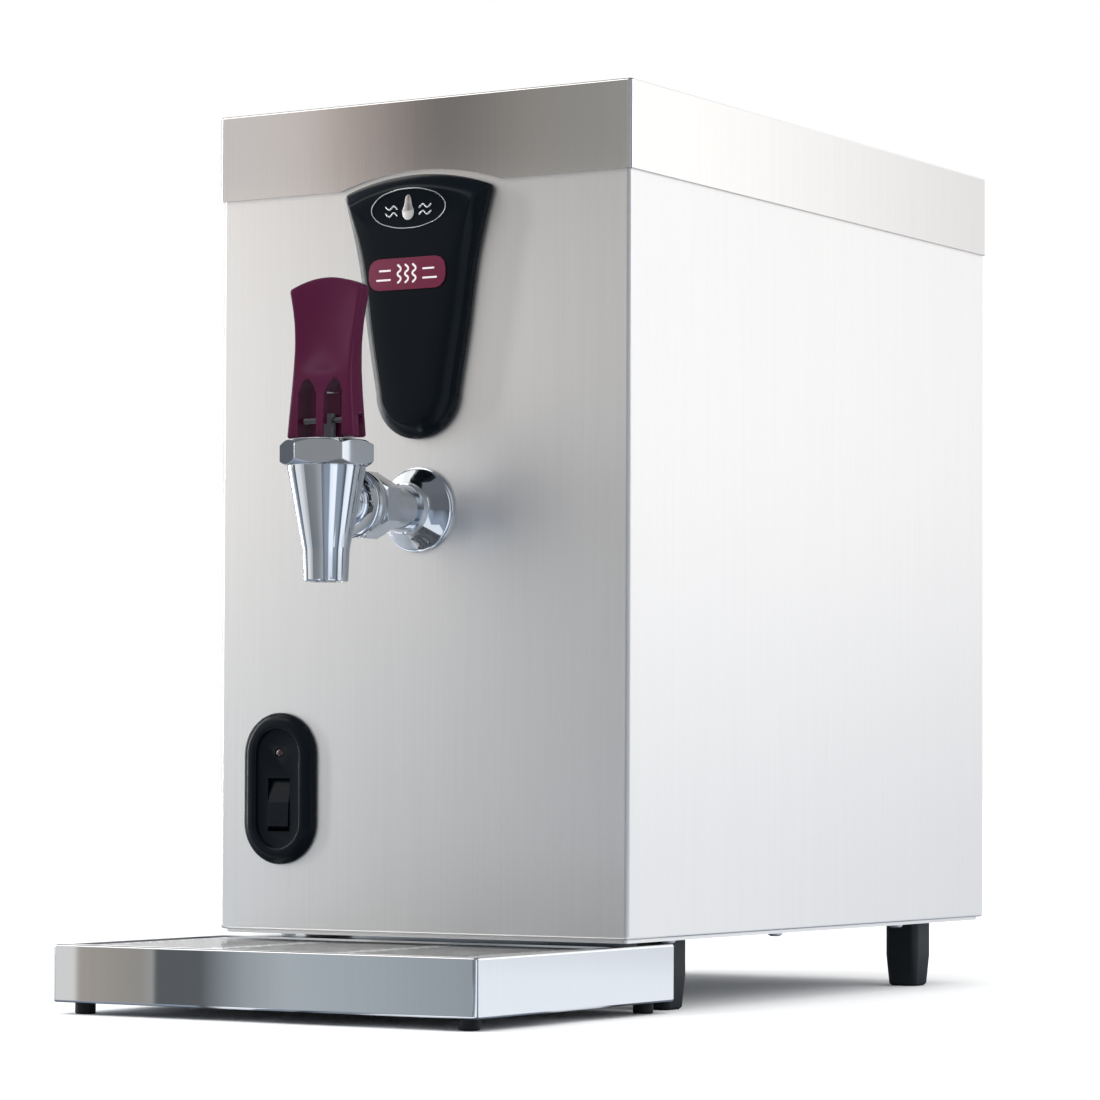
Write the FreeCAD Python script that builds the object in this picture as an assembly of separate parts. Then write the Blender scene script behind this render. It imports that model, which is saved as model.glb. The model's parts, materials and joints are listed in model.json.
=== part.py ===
import FreeCAD, Part
import os
from math import cos, pi, radians, sin, tan
from FreeCAD import Vector

# Countertop water boiler with a lever tap. Millimetres, +Z up, front faces -Y.
# The origin is on the counter, at the middle of the footprint.

# Casing
bodyWidth = 230.0
bodyDepth = 371.0
frontY = -133.0
rearY = frontY + bodyDepth
baseZ = 35.0
sheet = 1.2
casingTop = 428.0
casingCorner = 2.0
casingLowerEdge = 1.5
flangeWidth = 12.0

# Lid
lidTop = 429.5
lidSkirt = 41.3
lidOverhang = 1.5
archHalfSpan = 45.2
archRise = 7.3

# Base and feet
panThickness = 1.6
panInset = 2.0
footSize = 18.5
footSideInset = 19.8
footFrontInset = 64.4
footRearInset = 48.6

# Badge cover on the front
badgeDepth = 10.5
badgeTopZ = 385.8
badgeApexZ = 393.0
badgeHalfTop = 42.1
badgeTipCentreZ = 291.0
badgeTipRadius = 22.7

# Switch panel on the front
switchX = -78.7
switchZ = 103.0
bezelWidth = 40.8
bezelHeight = 72.8
rockerZ = 95.2
rockerPivotY = frontY + 4.0
rockerRadius = 12.4
rockerWidth = 12.0
lensZ = 120.1
tailDepth = 2.2

# Tap
tapY = -209.5
shankZ = 234.6
tapTopZ = 250.3
nutTopZ = 262.1
handleBaseZ = 263.2
handleTopZ = 336.7
leverPinZ = 271.2
leverPinRadius = 1.2
stemHalfFlat = 1.85
leverBack = 3.6
seatZ = 229.5
chamberRadius = 10.5

# Drip tray
trayWidth = 231.4
trayEdge = 1.1
trayFrontY = -261.0
trayRearY = -90.6
trayBaseZ = 5.5
trayTopZ = 32.0
openFrontY = -254.5
openRearY = -137.5
openHalfWidth = 109.0

# Tank
tankHalfWidth = 75.0
tankFrontY = -70.0
tankRearY = 105.0
tankBaseZ = 165.0
tankTopZ = 375.0
tankWall = 1.5
tankFlange = 8.0
boltX = 79.0
rearBracketY = 88.5

# Services at the back
fittingEndY = 261.0
inletX = -60.0
inletZ = 80.0
inletThreadRadius = 13.22
overflowX = 40.0
overflowZ = 62.0
glandX = 82.0
glandZ = 62.0
drainX = -43.0
drainY = 67.0
drainBore = 6.0

X = Vector(1, 0, 0)
Y = Vector(0, 1, 0)
Z = Vector(0, 0, 1)


def box(x0, x1, y0, y1, z0, z1):
    return Part.makeBox(x1 - x0, y1 - y0, z1 - z0, Vector(x0, y0, z0))


def rod(radius, start, end):
    start = Vector(*start)
    run = Vector(*end) - start
    return Part.makeCylinder(radius, run.Length, start, run)


def tube(outer, inner, start, end):
    return rod(outer, start, end).cut(rod(inner, start, end))


def cone(r0, r1, start, end):
    start = Vector(*start)
    run = Vector(*end) - start
    return Part.makeCone(r0, r1, run.Length, start, run)


def fuse(shapes):
    whole = shapes[0]
    if len(shapes) > 1:
        whole = whole.multiFuse(shapes[1:])
    return whole.removeSplitter()


def cut(shape, tools):
    return shape.cut(tools) if tools else shape


def filletAlong(shape, direction, radius, test=None):
    chosen = []
    for edge in shape.Edges:
        if not isinstance(edge.Curve, (Part.Line, Part.LineSegment)):
            continue
        run = edge.Vertexes[-1].Point - edge.Vertexes[0].Point
        if run.Length > 1e-6 and abs(run.normalize().dot(direction)) > 0.999:
            if test is None or test(edge.CenterOfMass):
                chosen.append(edge)
    return shape.makeFillet(radius, chosen) if chosen else shape


def roundedBox(x0, x1, y0, y1, z0, z1, radius, direction=Z):
    return filletAlong(box(x0, x1, y0, y1, z0, z1), direction, radius)


def hexagon(acrossFlats, start, end, turn=0.0):
    # A hexagonal prism; one corner is turned by this many degrees round the axis.
    start = Vector(*start)
    end = Vector(*end)
    axis = (end - start).normalize()
    side = X if abs(axis.dot(X)) < 0.5 else Y
    other = axis.cross(side)
    radius = acrossFlats / 2 / cos(pi / 6)
    ring = []
    for k in range(7):
        a = radians(turn + 60 * (k % 6))
        ring.append(start + side * (radius * cos(a)) + other * (radius * sin(a)))
    return Part.Face(Part.makePolygon(ring)).extrude(end - start)


def chamferedNut(acrossFlats, start, end, turn, shrink):
    # Both ends of the hexagon are turned down to a cone.
    prism = hexagon(acrossFlats, start, end, turn)
    a = Vector(*start)
    b = Vector(*end)
    axis = (b - a).normalize()
    corner = acrossFlats / 2 / cos(pi / 6)
    face = acrossFlats / 2 * 0.97
    mid = (a + b) / 2
    first = Part.makeCone(face, face + shrink * 6, shrink * 6 * 0.7, a, axis)
    last = Part.makeCone(face, face + shrink * 6, shrink * 6 * 0.7, b, axis * -1)
    long = Part.makeCylinder(corner + 5, (b - a).Length, mid, axis)
    front = first.fuse(Part.makeCylinder(corner + 5, 200, a + axis * (shrink * 6 * 0.7), axis))
    back = last.fuse(Part.makeCylinder(corner + 5, 200, b - axis * (shrink * 6 * 0.7), axis * -1))
    return prism.common(front).common(back)


def stadium(x, z, width, height, y0, y1):
    r = width / 2
    half = height / 2 - r
    body = box(x - r, x + r, y0, y1, z - half, z + half)
    caps = [rod(r, (x, y0, z + half), (x, y1, z + half)), rod(r, (x, y0, z - half), (x, y1, z - half))]
    return fuse([body] + caps)


def bentTube(points, bend, outer, inner):
    # A tube along straight runs joined by tangent arcs.
    pts = [Vector(*p) for p in points]
    edges = []
    last = pts[0]
    for a, b, c in zip(pts, pts[1:], pts[2:]):
        u = (b - a).normalize()
        v = (c - b).normalize()
        turn = u.getAngle(v)
        back = bend * tan(turn / 2)
        start = b - u * back
        end = b + v * back
        inward = (v - u).normalize()
        middle = b + inward * (bend / cos(turn / 2) - bend)
        edges.append(Part.LineSegment(last, start).toShape())
        edges.append(Part.Arc(start, middle, end).toShape())
        last = end
    edges.append(Part.LineSegment(last, pts[-1]).toShape())
    path = Part.Wire(edges)
    along = (pts[1] - pts[0]).normalize()
    skins = []
    for radius in (outer, inner):
        ring = Part.Wire(Part.makeCircle(radius, pts[0], along))
        skins.append(path.makePipeShell([ring], True, False))
    return skins[0].cut(skins[1])


def panHead(x, y, z, direction, headRadius, headHeight, shankRadius, shankLength):
    base = Vector(x, y, z)
    d = Vector(*direction)
    head = Part.makeCylinder(headRadius, headHeight, base, d)
    shank = Part.makeCylinder(shankRadius, shankLength, base, d * -1)
    return head.fuse(shank).removeSplitter()


def save(name, shape):
    if shape.ShapeType == "Compound" and len(shape.Solids) == 1:
        shape = shape.Solids[0]
    if not shape.isValid() or not shape.Solids:
        print("check this piece:", name)
    shape.exportStep(os.path.join("parts", name + ".step"))
    print(name, len(shape.Solids), "solid", round(shape.Volume / 1000, 2), "cm3")


# Where small fixings sit
halfW = bodyWidth / 2
footPlaces = []
for footX in (-halfW + footSideInset, halfW - footSideInset):
    footPlaces.append((footX, frontY + footFrontInset))
    footPlaces.append((footX, rearY - footRearInset))
panelScrewPlaces = [(sx * 107.0, z) for sx in (-1, 1) for z in (60.0, 215.0, 370.0)]
lidScrewPlaces = [(sx * 106.0, 402.0) for sx in (-1, 1)]
valveScrewPlaces = [(inletX + sx * 19.0, inletZ) for sx in (-1, 1)]
panScrewPlaces = [(sx * 108.0, y) for sx in (-1, 1) for y in (-84.5, 20.0, 150.0)]
bracketScrewPlaces = [(sx * 80.0, y) for sx in (-1, 1) for y in (-50.0, rearBracketY)]
tankStudPlaces = [(sx * 58.0, y) for sx in (-1, 1) for y in (-50.0, rearBracketY)]
tankBoltPlaces = [(sx * boltX, y) for sx in (-1, 1) for y in (-60.0, 17.0, 95.0)]
tankBoltPlaces += [(x, y) for x in (-45.0, 45.0) for y in (-74.0, 109.0)]


def outerCasing():
    outer = box(-halfW, halfW, frontY, rearY, baseZ, casingTop)
    outer = filletAlong(outer, Z, casingCorner, lambda c: c.y < frontY + 1)
    outer = outer.makeFillet(casingLowerEdge, [e for e in outer.Edges if e.BoundBox.ZMax < baseZ + 0.01
                                               and e.BoundBox.YMin < rearY - 1])
    inner = box(-halfW + sheet, halfW - sheet, frontY + sheet, rearY + 5, baseZ + sheet, casingTop + 5)
    rim = flangeWidth + sheet
    opening = box(-halfW + rim, halfW - rim, frontY + rim, rearY + 5, baseZ - 5, baseZ + 5)
    shell = outer.cut([inner, opening])
    flanges = []
    for side in (-1, 1):
        x0, x1 = sorted((side * (halfW - sheet), side * (halfW - 15.0)))
        flanges.append(box(x0, x1, rearY - 2 * sheet, rearY - sheet, baseZ + sheet, casingTop - 1))
    shell = fuse([shell] + flanges)
    holes = [rod(10.4, (0, frontY - 5, shankZ), (0, frontY + 5, shankZ))]
    holes.append(stadium(switchX, switchZ, 24.6, 60.0, frontY - 5, frontY + 5))
    for x in (-14.0, 14.0):
        holes.append(rod(2.1, (x, frontY - 5, 365.0), (x, frontY + 5, 365.0)))
    for x, z in panelScrewPlaces + lidScrewPlaces:
        holes.append(rod(2.0, (x, rearY - 10, z), (x, rearY + 5, z)))
    for x, y in panScrewPlaces:
        holes.append(rod(2.0, (x, y, baseZ - 5), (x, y, baseZ + 5)))
    save("outer_casing", cut(shell, holes))


def archTool(halfSpan, rise, baseLevel, y0, y1, extra):
    radius = (halfSpan ** 2 + rise ** 2) / (2 * rise)
    centreZ = baseLevel + rise - radius
    disc = rod(radius, (0, y0, centreZ), (0, y1, centreZ))
    return disc.common(box(-halfSpan, halfSpan, y0, y1, baseLevel - extra, baseLevel + rise + 1))


def lid():
    x = halfW + lidOverhang
    y0 = frontY - lidOverhang
    y1 = rearY + lidOverhang
    z0 = lidTop - lidSkirt
    outer = box(-x, x, y0, y1, z0, lidTop)
    outer = filletAlong(outer, Z, 2.2)
    outer = outer.makeFillet(1.1, [e for e in outer.Edges if e.BoundBox.ZMin > lidTop - 0.01])
    t = sheet
    inner = box(-x + t, x - t, y0 + t, y1 - t, z0 - 1, lidTop - t)
    inner = filletAlong(inner, Z, 1.0)
    arch = archTool(archHalfSpan, archRise, z0, y0 - 1, y0 + t + 1, 1.0)
    holes = [rod(2.0, (x, y1 - 5, z), (x, y1 + 5, z)) for x, z in lidScrewPlaces]
    save("lid", outer.cut([inner, arch] + holes))


def rearPanel():
    panel = box(-halfW + 1.4, halfW - 1.4, rearY - sheet, rearY, baseZ + 1.6, casingTop - 1)
    tools = []
    for x, z in panelScrewPlaces + lidScrewPlaces:
        tools.append(rod(2.0, (x, rearY - 5, z), (x, rearY + 5, z)))
    tools.append(rod(13.6, (inletX, rearY - 5, inletZ), (inletX, rearY + 5, inletZ)))
    tools.append(rod(7.3, (overflowX, rearY - 5, overflowZ), (overflowX, rearY + 5, overflowZ)))
    tools.append(rod(8.0, (glandX, rearY - 5, glandZ), (glandX, rearY + 5, glandZ)))
    for row in range(6):
        for column in (-30.0, 30.0):
            z = 318.0 + row * 9.0
            tools.append(roundedBox(column - 22, column + 22, rearY - 5, rearY + 5, z, z + 3.0, 1.4, Y))
    for x, z in valveScrewPlaces:
        tools.append(rod(2.0, (x, rearY - 5, z), (x, rearY + 5, z)))
    save("rear_panel", panel.cut(tools))
    screws = [panHead(x, rearY, z, (0, 1, 0), 3.8, 2.0, 2.0, 6.0) for x, z in panelScrewPlaces + valveScrewPlaces]
    screws += [panHead(x, rearY + lidOverhang, z, (0, 1, 0), 3.8, 2.0, 2.0, 6.0) for x, z in lidScrewPlaces]
    save("rear_screws", Part.makeCompound(screws))


def basePan():
    x = halfW - panInset
    z0 = baseZ - panThickness
    pan = roundedBox(-x, x, frontY + panInset, rearY - panInset, z0, baseZ, 2.0)
    tools = []
    for fx, fy in footPlaces:
        tools.append(rod(4.0, (fx, fy, z0 - 1), (fx, fy, baseZ + 1)))
    for px, py in panScrewPlaces:
        tools.append(rod(2.0, (px, py, z0 - 1), (px, py, baseZ + 1)))
    for px, py in bracketScrewPlaces:
        tools.append(rod(2.0, (px, py, z0 - 1), (px, py, baseZ + 1)))
    tools.append(rod(8.6, (drainX, drainY, z0 - 1), (drainX, drainY, baseZ + 1)))
    for row in range(5):
        for column in (10.0, 45.0):
            y = 120.0 + row * 9.0
            tools.append(roundedBox(column - 14, column + 14, y, y + 3.0, z0 - 1, baseZ + 1, 1.4))
    save("base_pan", pan.cut(tools))
    screws = [panHead(px, py, z0, (0, 0, -1), 3.6, 1.8, 2.0, 5.0) for px, py in panScrewPlaces]
    save("base_pan_screws", Part.makeCompound(screws))


def feet():
    top = baseZ - panThickness
    half = footSize / 2
    names = ("foot_front_left", "foot_rear_left", "foot_front_right", "foot_rear_right")
    nuts = []
    for name, (x, y) in zip(names, footPlaces):
        post = roundedBox(x - half, x + half, y - half, y + half, top * 0.48, top, 3.5)
        low = half - 1.3
        rings = []
        for h, z in ((half, top * 0.48), (low, 1.2), (low - 1.2, 0.0)):
            sketch = roundedBox(x - h, x + h, y - h, y + h, z, z + 1, 3.5 * h / half)
            rings.append(max((f for f in sketch.Faces if abs(f.CenterOfMass.z - z) < 1e-4),
                             key=lambda f: f.Area).OuterWire)
        taper = Part.makeLoft(rings[:2], True, True).fuse(Part.makeLoft(rings[1:], True, True))
        stud = rod(4.0, (x, y, top), (x, y, baseZ + 9))
        save(name, fuse([post, taper, stud]))
        nut = hexagon(11.0, (x, y, baseZ), (x, y, baseZ + 6.5))
        nuts.append(nut.cut(rod(4.0, (x, y, baseZ - 1), (x, y, baseZ + 8))))
    save("foot_nuts", Part.makeCompound(nuts))


def badgeFace(inset, y):
    # Shield outline: arched top, drawn-in sides, half-round tip.
    topRise = badgeApexZ - badgeTopZ
    w = badgeHalfTop - inset
    side = [Vector(w, y, badgeTopZ - inset), Vector(33.95 - inset, y, 353.0),
            Vector(28.6 - inset, y, 318.0), Vector(badgeTipRadius - inset, y, badgeTipCentreZ)]
    curve = Part.BSplineCurve()
    curve.interpolate(side)
    right = curve.toShape()
    left = right.mirror(Vector(0, 0, 0), X)
    top = Part.Arc(side[0], Vector(0, y, badgeTopZ + topRise - inset), Vector(-w, y, badgeTopZ - inset)).toShape()
    tip = Vector(0, y, badgeTipCentreZ - badgeTipRadius + inset)
    low = Part.Arc(side[-1], tip, Vector(-side[-1].x, y, side[-1].z)).toShape()
    return Part.Face(Part.Wire(Part.__sortEdges__([right, low, left, top])))


def badge():
    rim = 3.5
    y0 = frontY - badgeDepth + rim
    base = badgeFace(0.0, frontY).extrude(Vector(0, y0 - frontY, 0))
    wires = [badgeFace(0.0, y0).OuterWire, badgeFace(rim, frontY - badgeDepth).OuterWire]
    slope = Part.makeLoft(wires, True, True)
    hollow = badgeFace(2.6, frontY).extrude(Vector(0, -badgeDepth + rim + 0.5, 0))
    posts = [rod(2.0, (x, frontY - 8, 365.0), (x, frontY + 4, 365.0)) for x in (-14.0, 14.0)]
    cover = fuse([base, slope]).cut(hollow)
    y = frontY - badgeDepth
    save("badge_cover", fuse([cover] + posts))
    save("badge_emblem", ellipsePlate(-0.6, 376.4, 21.5, 9.7, y, y - 0.7))
    label = roundedBox(-1.2 - 21.6, -1.2 + 21.6, y - 0.4, y, 346.4 - 7.5, 346.4 + 7.5, 5.5, Y)
    save("badge_label", label)


def ellipsePlate(x, z, halfLength, halfHeight, y0, y1):
    disc = Part.makeCylinder(1.0, abs(y1 - y0), Vector(0, min(y0, y1), 0), Y)
    matrix = FreeCAD.Matrix()
    matrix.scale(halfLength, 1.0, halfHeight)
    plate = disc.transformGeometry(matrix)
    plate.translate(Vector(x, 0, z))
    return plate


def switchPanel():
    y0 = frontY - 4.5
    body = stadium(switchX, switchZ, bezelWidth, bezelHeight, y0, frontY)
    outerEdges = [e for e in body.Edges if e.BoundBox.YMax < y0 + 0.01]
    body = body.makeChamfer(1.6, outerEdges)
    tail = stadium(switchX, switchZ, 24.4, 59.8, frontY, frontY + tailDepth)
    recess = stadium(switchX, switchZ, 24.6, 58.2, y0 - 1, y0 + 2.5)
    half = rockerWidth / 2 + 0.35
    window = box(switchX - half, switchX + half, y0, frontY + 4, rockerZ - 12.75, rockerZ + 12.75)
    lensHole = rod(2.1, (switchX, y0, lensZ), (switchX, frontY + 4, lensZ))
    save("switch_bezel", fuse([body, tail]).cut([recess, window, lensHole]))
    lens = rod(2.1, (switchX, frontY - 2.0, lensZ), (switchX, frontY + 6, lensZ))
    dome = Part.makeSphere(2.1, Vector(switchX, frontY - 2.0, lensZ))
    save("indicator_lens", fuse([lens, dome.common(box(-90, -70, frontY - 5, frontY - 2.0, 110, 130))]))
    pivot = Vector(switchX, rockerPivotY, rockerZ)
    disc = rod(rockerRadius, (switchX - rockerWidth / 2, rockerPivotY, rockerZ),
               (switchX + rockerWidth / 2, rockerPivotY, rockerZ))
    # The paddle face is a shallow V, and at rest its lower end stands proud.
    for angle in (-98.0, -82.0):
        slab = box(switchX - 20, switchX + 20, rockerPivotY - 60, rockerPivotY - 6.6, rockerZ - 40, rockerZ + 40)
        slab.rotate(pivot, X, angle + 90.0 - 10.0)
        half = box(switchX - 20, switchX + 20, rockerPivotY - 60, rockerPivotY + 60, rockerZ, rockerZ + 60)
        half.rotate(pivot, X, -10.0 + (0.0 if angle == -98.0 else 180.0))
        disc = disc.cut(slab.common(half))
    disc = disc.cut(box(switchX - 20, switchX + 20, rockerPivotY + 4, rockerPivotY + 20, 60, 130))
    pins = rod(1.5, (switchX - 8.0, rockerPivotY, rockerZ), (switchX + 8.0, rockerPivotY, rockerZ))
    save("rocker_switch", fuse([disc, pins]))
    shell = box(switchX - 9.5, switchX + 9.5, frontY + tailDepth, frontY + 26.0, rockerZ - 14.5, rockerZ + 14.5)
    room = rod(rockerRadius + 0.4, (switchX - rockerWidth / 2 - 0.3, rockerPivotY, rockerZ),
               (switchX + rockerWidth / 2 + 0.3, rockerPivotY, rockerZ))
    bores = rod(1.55, (switchX - 12, rockerPivotY, rockerZ), (switchX + 12, rockerPivotY, rockerZ))
    tabs = []
    for k in (-1, 0, 1):
        tabs.append(box(switchX - 2.4, switchX + 2.4, frontY + 26.0, frontY + 35.0, rockerZ + k * 8 - 0.4,
                        rockerZ + k * 8 + 0.4))
    save("switch_housing", fuse([shell.cut([room, bores])] + tabs))


def tapBody():
    spout = Vector(0, tapY, 0)
    profile = [(5.5, 197.7), (10.0, 197.7), (10.2, 198.4), (10.75, 212.5), (18.2, tapTopZ), (14.5, tapTopZ),
               (14.5, 257.8), (chamberRadius, 257.8), (chamberRadius, 228.0), (7.2, 228.0), (7.2, seatZ),
               (5.5, seatZ)]
    ring = [spout + Vector(r, 0, z) for r, z in profile]
    face = Part.Face(Part.makePolygon(ring + ring[:1]))
    body = face.revolve(spout, Z, 360)
    neck = rod(10.8, (0, tapY + 8, shankZ), (0, -188.0, shankZ))
    flange = rod(13.0, (0, -188.0, shankZ), (0, -185.5, shankZ))
    bore = rod(5.0, (0, tapY + 5, shankZ), (0, -180.0, shankZ))
    flats = []
    lean = (18.2 - 10.75) / (tapTopZ - 212.5)
    for k in range(8):
        a = radians(36.0 - 90.0 + 22.5 + 45.0 * k)
        out = Vector(cos(a), sin(a), 0)
        across = Vector(-sin(a), cos(a), 0)
        corners = []
        for z in (206.0, 249.0):
            r = (10.75 + lean * (z - 212.5)) * 0.972
            corners.append(spout + out * r + Vector(0, 0, z))
            corners.append(spout + out * (r + 12) + Vector(0, 0, z))
        quad = [corners[0], corners[1], corners[3], corners[2], corners[0]]
        blade = Part.Face(Part.makePolygon([p - across * 12 for p in quad])).extrude(across * 24)
        flats.append(blade)
    core = body.cut(flats)
    solid = fuse([core, neck, flange])
    hollow = rod(chamberRadius, (0, tapY, 228.0), (0, tapY, 258.0))
    seat = tube(7.2, 5.5, (0, tapY, 227.5), (0, tapY, seatZ))
    save("tap_body", fuse([solid.cut([hollow, bore]), seat]))


def tapTop():
    nut = chamferedNut(38.1, (0, tapY, tapTopZ), (0, tapY, nutTopZ), -7.0, 0.55)
    boss = rod(15.0, (0, tapY, nutTopZ), (0, tapY, nutTopZ + 0.5))
    tools = [rod(14.5, (0, tapY, tapTopZ - 1), (0, tapY, 258.6)),
             rod(4.08, (0, tapY, 250.0), (0, tapY, 270.0))]
    save("tap_bonnet_nut", fuse([nut, boss]).cut(tools))
    save("tap_bonnet_gasket", tube(14.4, chamberRadius, (0, tapY, 257.8), (0, tapY, 258.6)))
    stem = rod(4.0, (0, tapY, 232.0), (0, tapY, leverPinZ + 3.0))
    head = rod(6.0, (0, tapY, 233.5), (0, tapY, 234.7))
    flats = []
    for side in (-1, 1):
        y0, y1 = sorted((tapY + side * stemHalfFlat, tapY + side * 8.0))
        flats.append(box(-6, 6, y0, y1, 261.0, 280))
    crossHole = rod(leverPinRadius + 0.04, (-10, tapY, leverPinZ), (10, tapY, leverPinZ))
    save("tap_stem", fuse([stem, head]).cut(flats + [crossHole]))
    cup = cone(8.2, 9.2, (0, tapY, seatZ), (0, tapY, 233.5))
    save("tap_seat_cup", cup.cut(rod(4.0, (0, tapY, 232.0), (0, tapY, 240.0))))
    helix = Part.makeHelix(4.5, 22.5, 7.6)
    helix.translate(Vector(0, tapY, 235.4))
    start = Vector(7.6, tapY, 235.4)
    wire = Part.Wire(helix.Edges).makePipeShell([Part.Wire(Part.makeCircle(0.55, start, Y))], True, True)
    save("tap_spring", wire)


def handleOutline(y):
    right = [Vector(18.5, y, handleBaseZ), Vector(17.3, y, 274.0), Vector(16.0, y, 295.0),
             Vector(16.2, y, 309.0), Vector(20.0, y, 331.7)]
    curve = Part.BSplineCurve()
    curve.interpolate(right)
    side = curve.toShape()
    other = side.mirror(Vector(0, 0, 0), X)
    top = Part.Arc(right[-1], Vector(0, y, handleTopZ), Vector(-20.0, y, 331.7)).toShape()
    base = Part.LineSegment(Vector(-18.5, y, handleBaseZ), right[0]).toShape()
    return Part.Face(Part.Wire(Part.__sortEdges__([side, top, other, base])))


def tapHandle():
    blank = handleOutline(tapY - 7.0).extrude(Vector(0, 14.0, 0))
    front = [(-6.0, handleBaseZ), (-5.6, 280.0), (-4.0, 305.0), (-1.6, 322.0), (-2.4, handleTopZ)]
    back = [(5.2, handleTopZ), (5.5, 300.0), (5.5, handleBaseZ)]
    ring = [Vector(-30, tapY + y, z) for y, z in front]
    curve = Part.BSplineCurve()
    curve.interpolate(ring)
    edges = [curve.toShape()]
    pts = [ring[-1]] + [Vector(-30, tapY + y, z) for y, z in back] + [ring[0]]
    edges += [Part.LineSegment(a, b).toShape() for a, b in zip(pts, pts[1:])]
    side = Part.Face(Part.Wire(edges)).extrude(Vector(60, 0, 0))
    handle = blank.common(side)
    tools = []
    for sx in (-1, 1):
        x0, x1 = sorted((sx * 2.0, sx * 12.2))
        slot = box(x0, x1, tapY - 9, tapY + leverBack, handleBaseZ - 1, 287.0)
        arch = rod(5.1, ((x0 + x1) / 2, tapY - 9, 287.0), ((x0 + x1) / 2, tapY + leverBack, 287.0))
        tools.append(fuse([slot, arch]))
        n0, n1 = sorted((sx * 15.2, sx * 25.0))
        notch = box(n0, n1, tapY - 1.0, tapY + 3.6, handleBaseZ - 1, 272.0)
        top = rod(2.3, (n0, tapY + 1.3, 272.0), (n1, tapY + 1.3, 272.0))
        tools.append(fuse([notch, top]))
    tools.append(box(-4.6, 4.6, tapY - 5.1, tapY + leverBack, handleBaseZ - 1, 287.0))
    tools.append(rod(leverPinRadius, (-25, tapY, leverPinZ), (25, tapY, leverPinZ)))
    save("tap_handle", handle.cut(tools))
    save("tap_handle_pin", rod(leverPinRadius, (-16.0, tapY, leverPinZ), (16.0, tapY, leverPinZ)))


def tapConnection():
    ringPart = rod(15.6, (0, -191.0, shankZ), (0, -187.6, shankZ))
    slope = cone(15.6, 13.4, (0, -187.6, shankZ), (0, -180.0, shankZ))
    hexPart = chamferedNut(26.8, (0, -180.0, shankZ), (0, -167.0, shankZ), 30.0, 0.3)
    tools = [rod(10.85, (0, -192, shankZ), (0, -180, shankZ)), rod(13.0, (0, -188.0, shankZ), (0, -185.5, shankZ)),
             rod(11.4, (0, -186, shankZ), (0, -166, shankZ))]
    save("tap_coupling_nut", fuse([ringPart, slope, hexPart]).cut(tools))
    pieces = [rod(11.4, (0, -185.5, shankZ), (0, -168.0, shankZ)), rod(10.0, (0, -168.0, shankZ), (0, -114.0, shankZ)),
              rod(8.0, (0, -114.0, shankZ), (0, -98.0, shankZ))]
    save("tap_shank", fuse(pieces).cut(rod(5.0, (0, -190, shankZ), (0, -90, shankZ))))
    rose = fuse([rod(20.2, (0, frontY - 1.6, shankZ), (0, frontY, shankZ)),
                 cone(12.0, 19.0, (0, frontY - 11.0, shankZ), (0, frontY - 1.6, shankZ)),
                 rod(12.0, (0, frontY - 14.5, shankZ), (0, frontY - 11.0, shankZ))])
    inside = cone(10.5, 16.5, (0, frontY - 9.5, shankZ), (0, frontY, shankZ))
    save("tap_rose", rose.cut([rod(10.0, (0, frontY - 20, shankZ), (0, frontY + 1, shankZ)), inside]))
    inner = frontY + sheet
    save("tap_panel_washer", tube(17.0, 10.0, (0, inner, shankZ), (0, inner + 1.5, shankZ)))
    nut = hexagon(30.0, (0, inner + 1.5, shankZ), (0, inner + 9.0, shankZ), 30.0)
    save("tap_backnut", nut.cut(rod(10.0, (0, inner, shankZ), (0, inner + 12, shankZ))))


def dripTray():
    x = trayWidth / 2
    t = sheet
    outer = roundedBox(-x, x, trayFrontY, trayRearY, trayBaseZ, trayTopZ, 2.5)
    rims = [e for e in outer.Edges if e.BoundBox.ZMin > trayTopZ - 0.01 or e.BoundBox.ZMax < trayBaseZ + 0.01]
    outer = outer.makeFillet(trayEdge, rims)
    inner = box(-x + t, x - t, trayFrontY + t, trayRearY - t, trayBaseZ + t, trayTopZ - t)
    opening = box(-openHalfWidth, openHalfWidth, openFrontY, openRearY, trayTopZ - 3, trayTopZ + 1)
    step = box(-openHalfWidth - t, openHalfWidth + t, openFrontY - t, openRearY + t, trayTopZ - 3.2, trayTopZ - t)
    step = step.cut(box(-openHalfWidth, openHalfWidth, openFrontY, openRearY, trayTopZ - 4, trayTopZ))
    ledge = box(-openHalfWidth - t, openHalfWidth + t, openFrontY - t, openRearY + t, trayTopZ - 3.2, trayTopZ - 2.0)
    ledge = ledge.cut(box(-openHalfWidth + 6, openHalfWidth - 6, openFrontY + 6, openRearY - 6, trayTopZ - 4, trayTopZ))
    save("drip_tray", fuse([outer.cut([inner, opening]), step, ledge]))
    plate = roundedBox(-openHalfWidth + 0.5, openHalfWidth - 0.5, openFrontY + 0.5, openRearY - 0.5,
                       trayTopZ - 2.0, trayTopZ - 0.5, 2.0)
    slots = []
    for row in range(12):
        y = openFrontY + 11.0 + row * 8.5
        for column in (-69.0, 0.0, 69.0):
            slots.append(roundedBox(column - 30, column + 30, y, y + 3.2, trayTopZ - 4, trayTopZ + 1, 1.5))
    save("tray_grille", plate.cut(slots))
    feetPlaces = [(sx * (x - 11.0), y) for sx in (-1, 1) for y in (trayFrontY + 11.0, trayRearY - 11.0)]
    pads = []
    for fx, fy in feetPlaces:
        pad = rod(4.75, (fx, fy, 0.0), (fx, fy, trayBaseZ))
        low = [e for e in pad.Edges if e.BoundBox.ZMax < 0.01]
        pads.append(pad.makeFillet(1.0, low))
    save("tray_feet", Part.makeCompound(pads))


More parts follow.
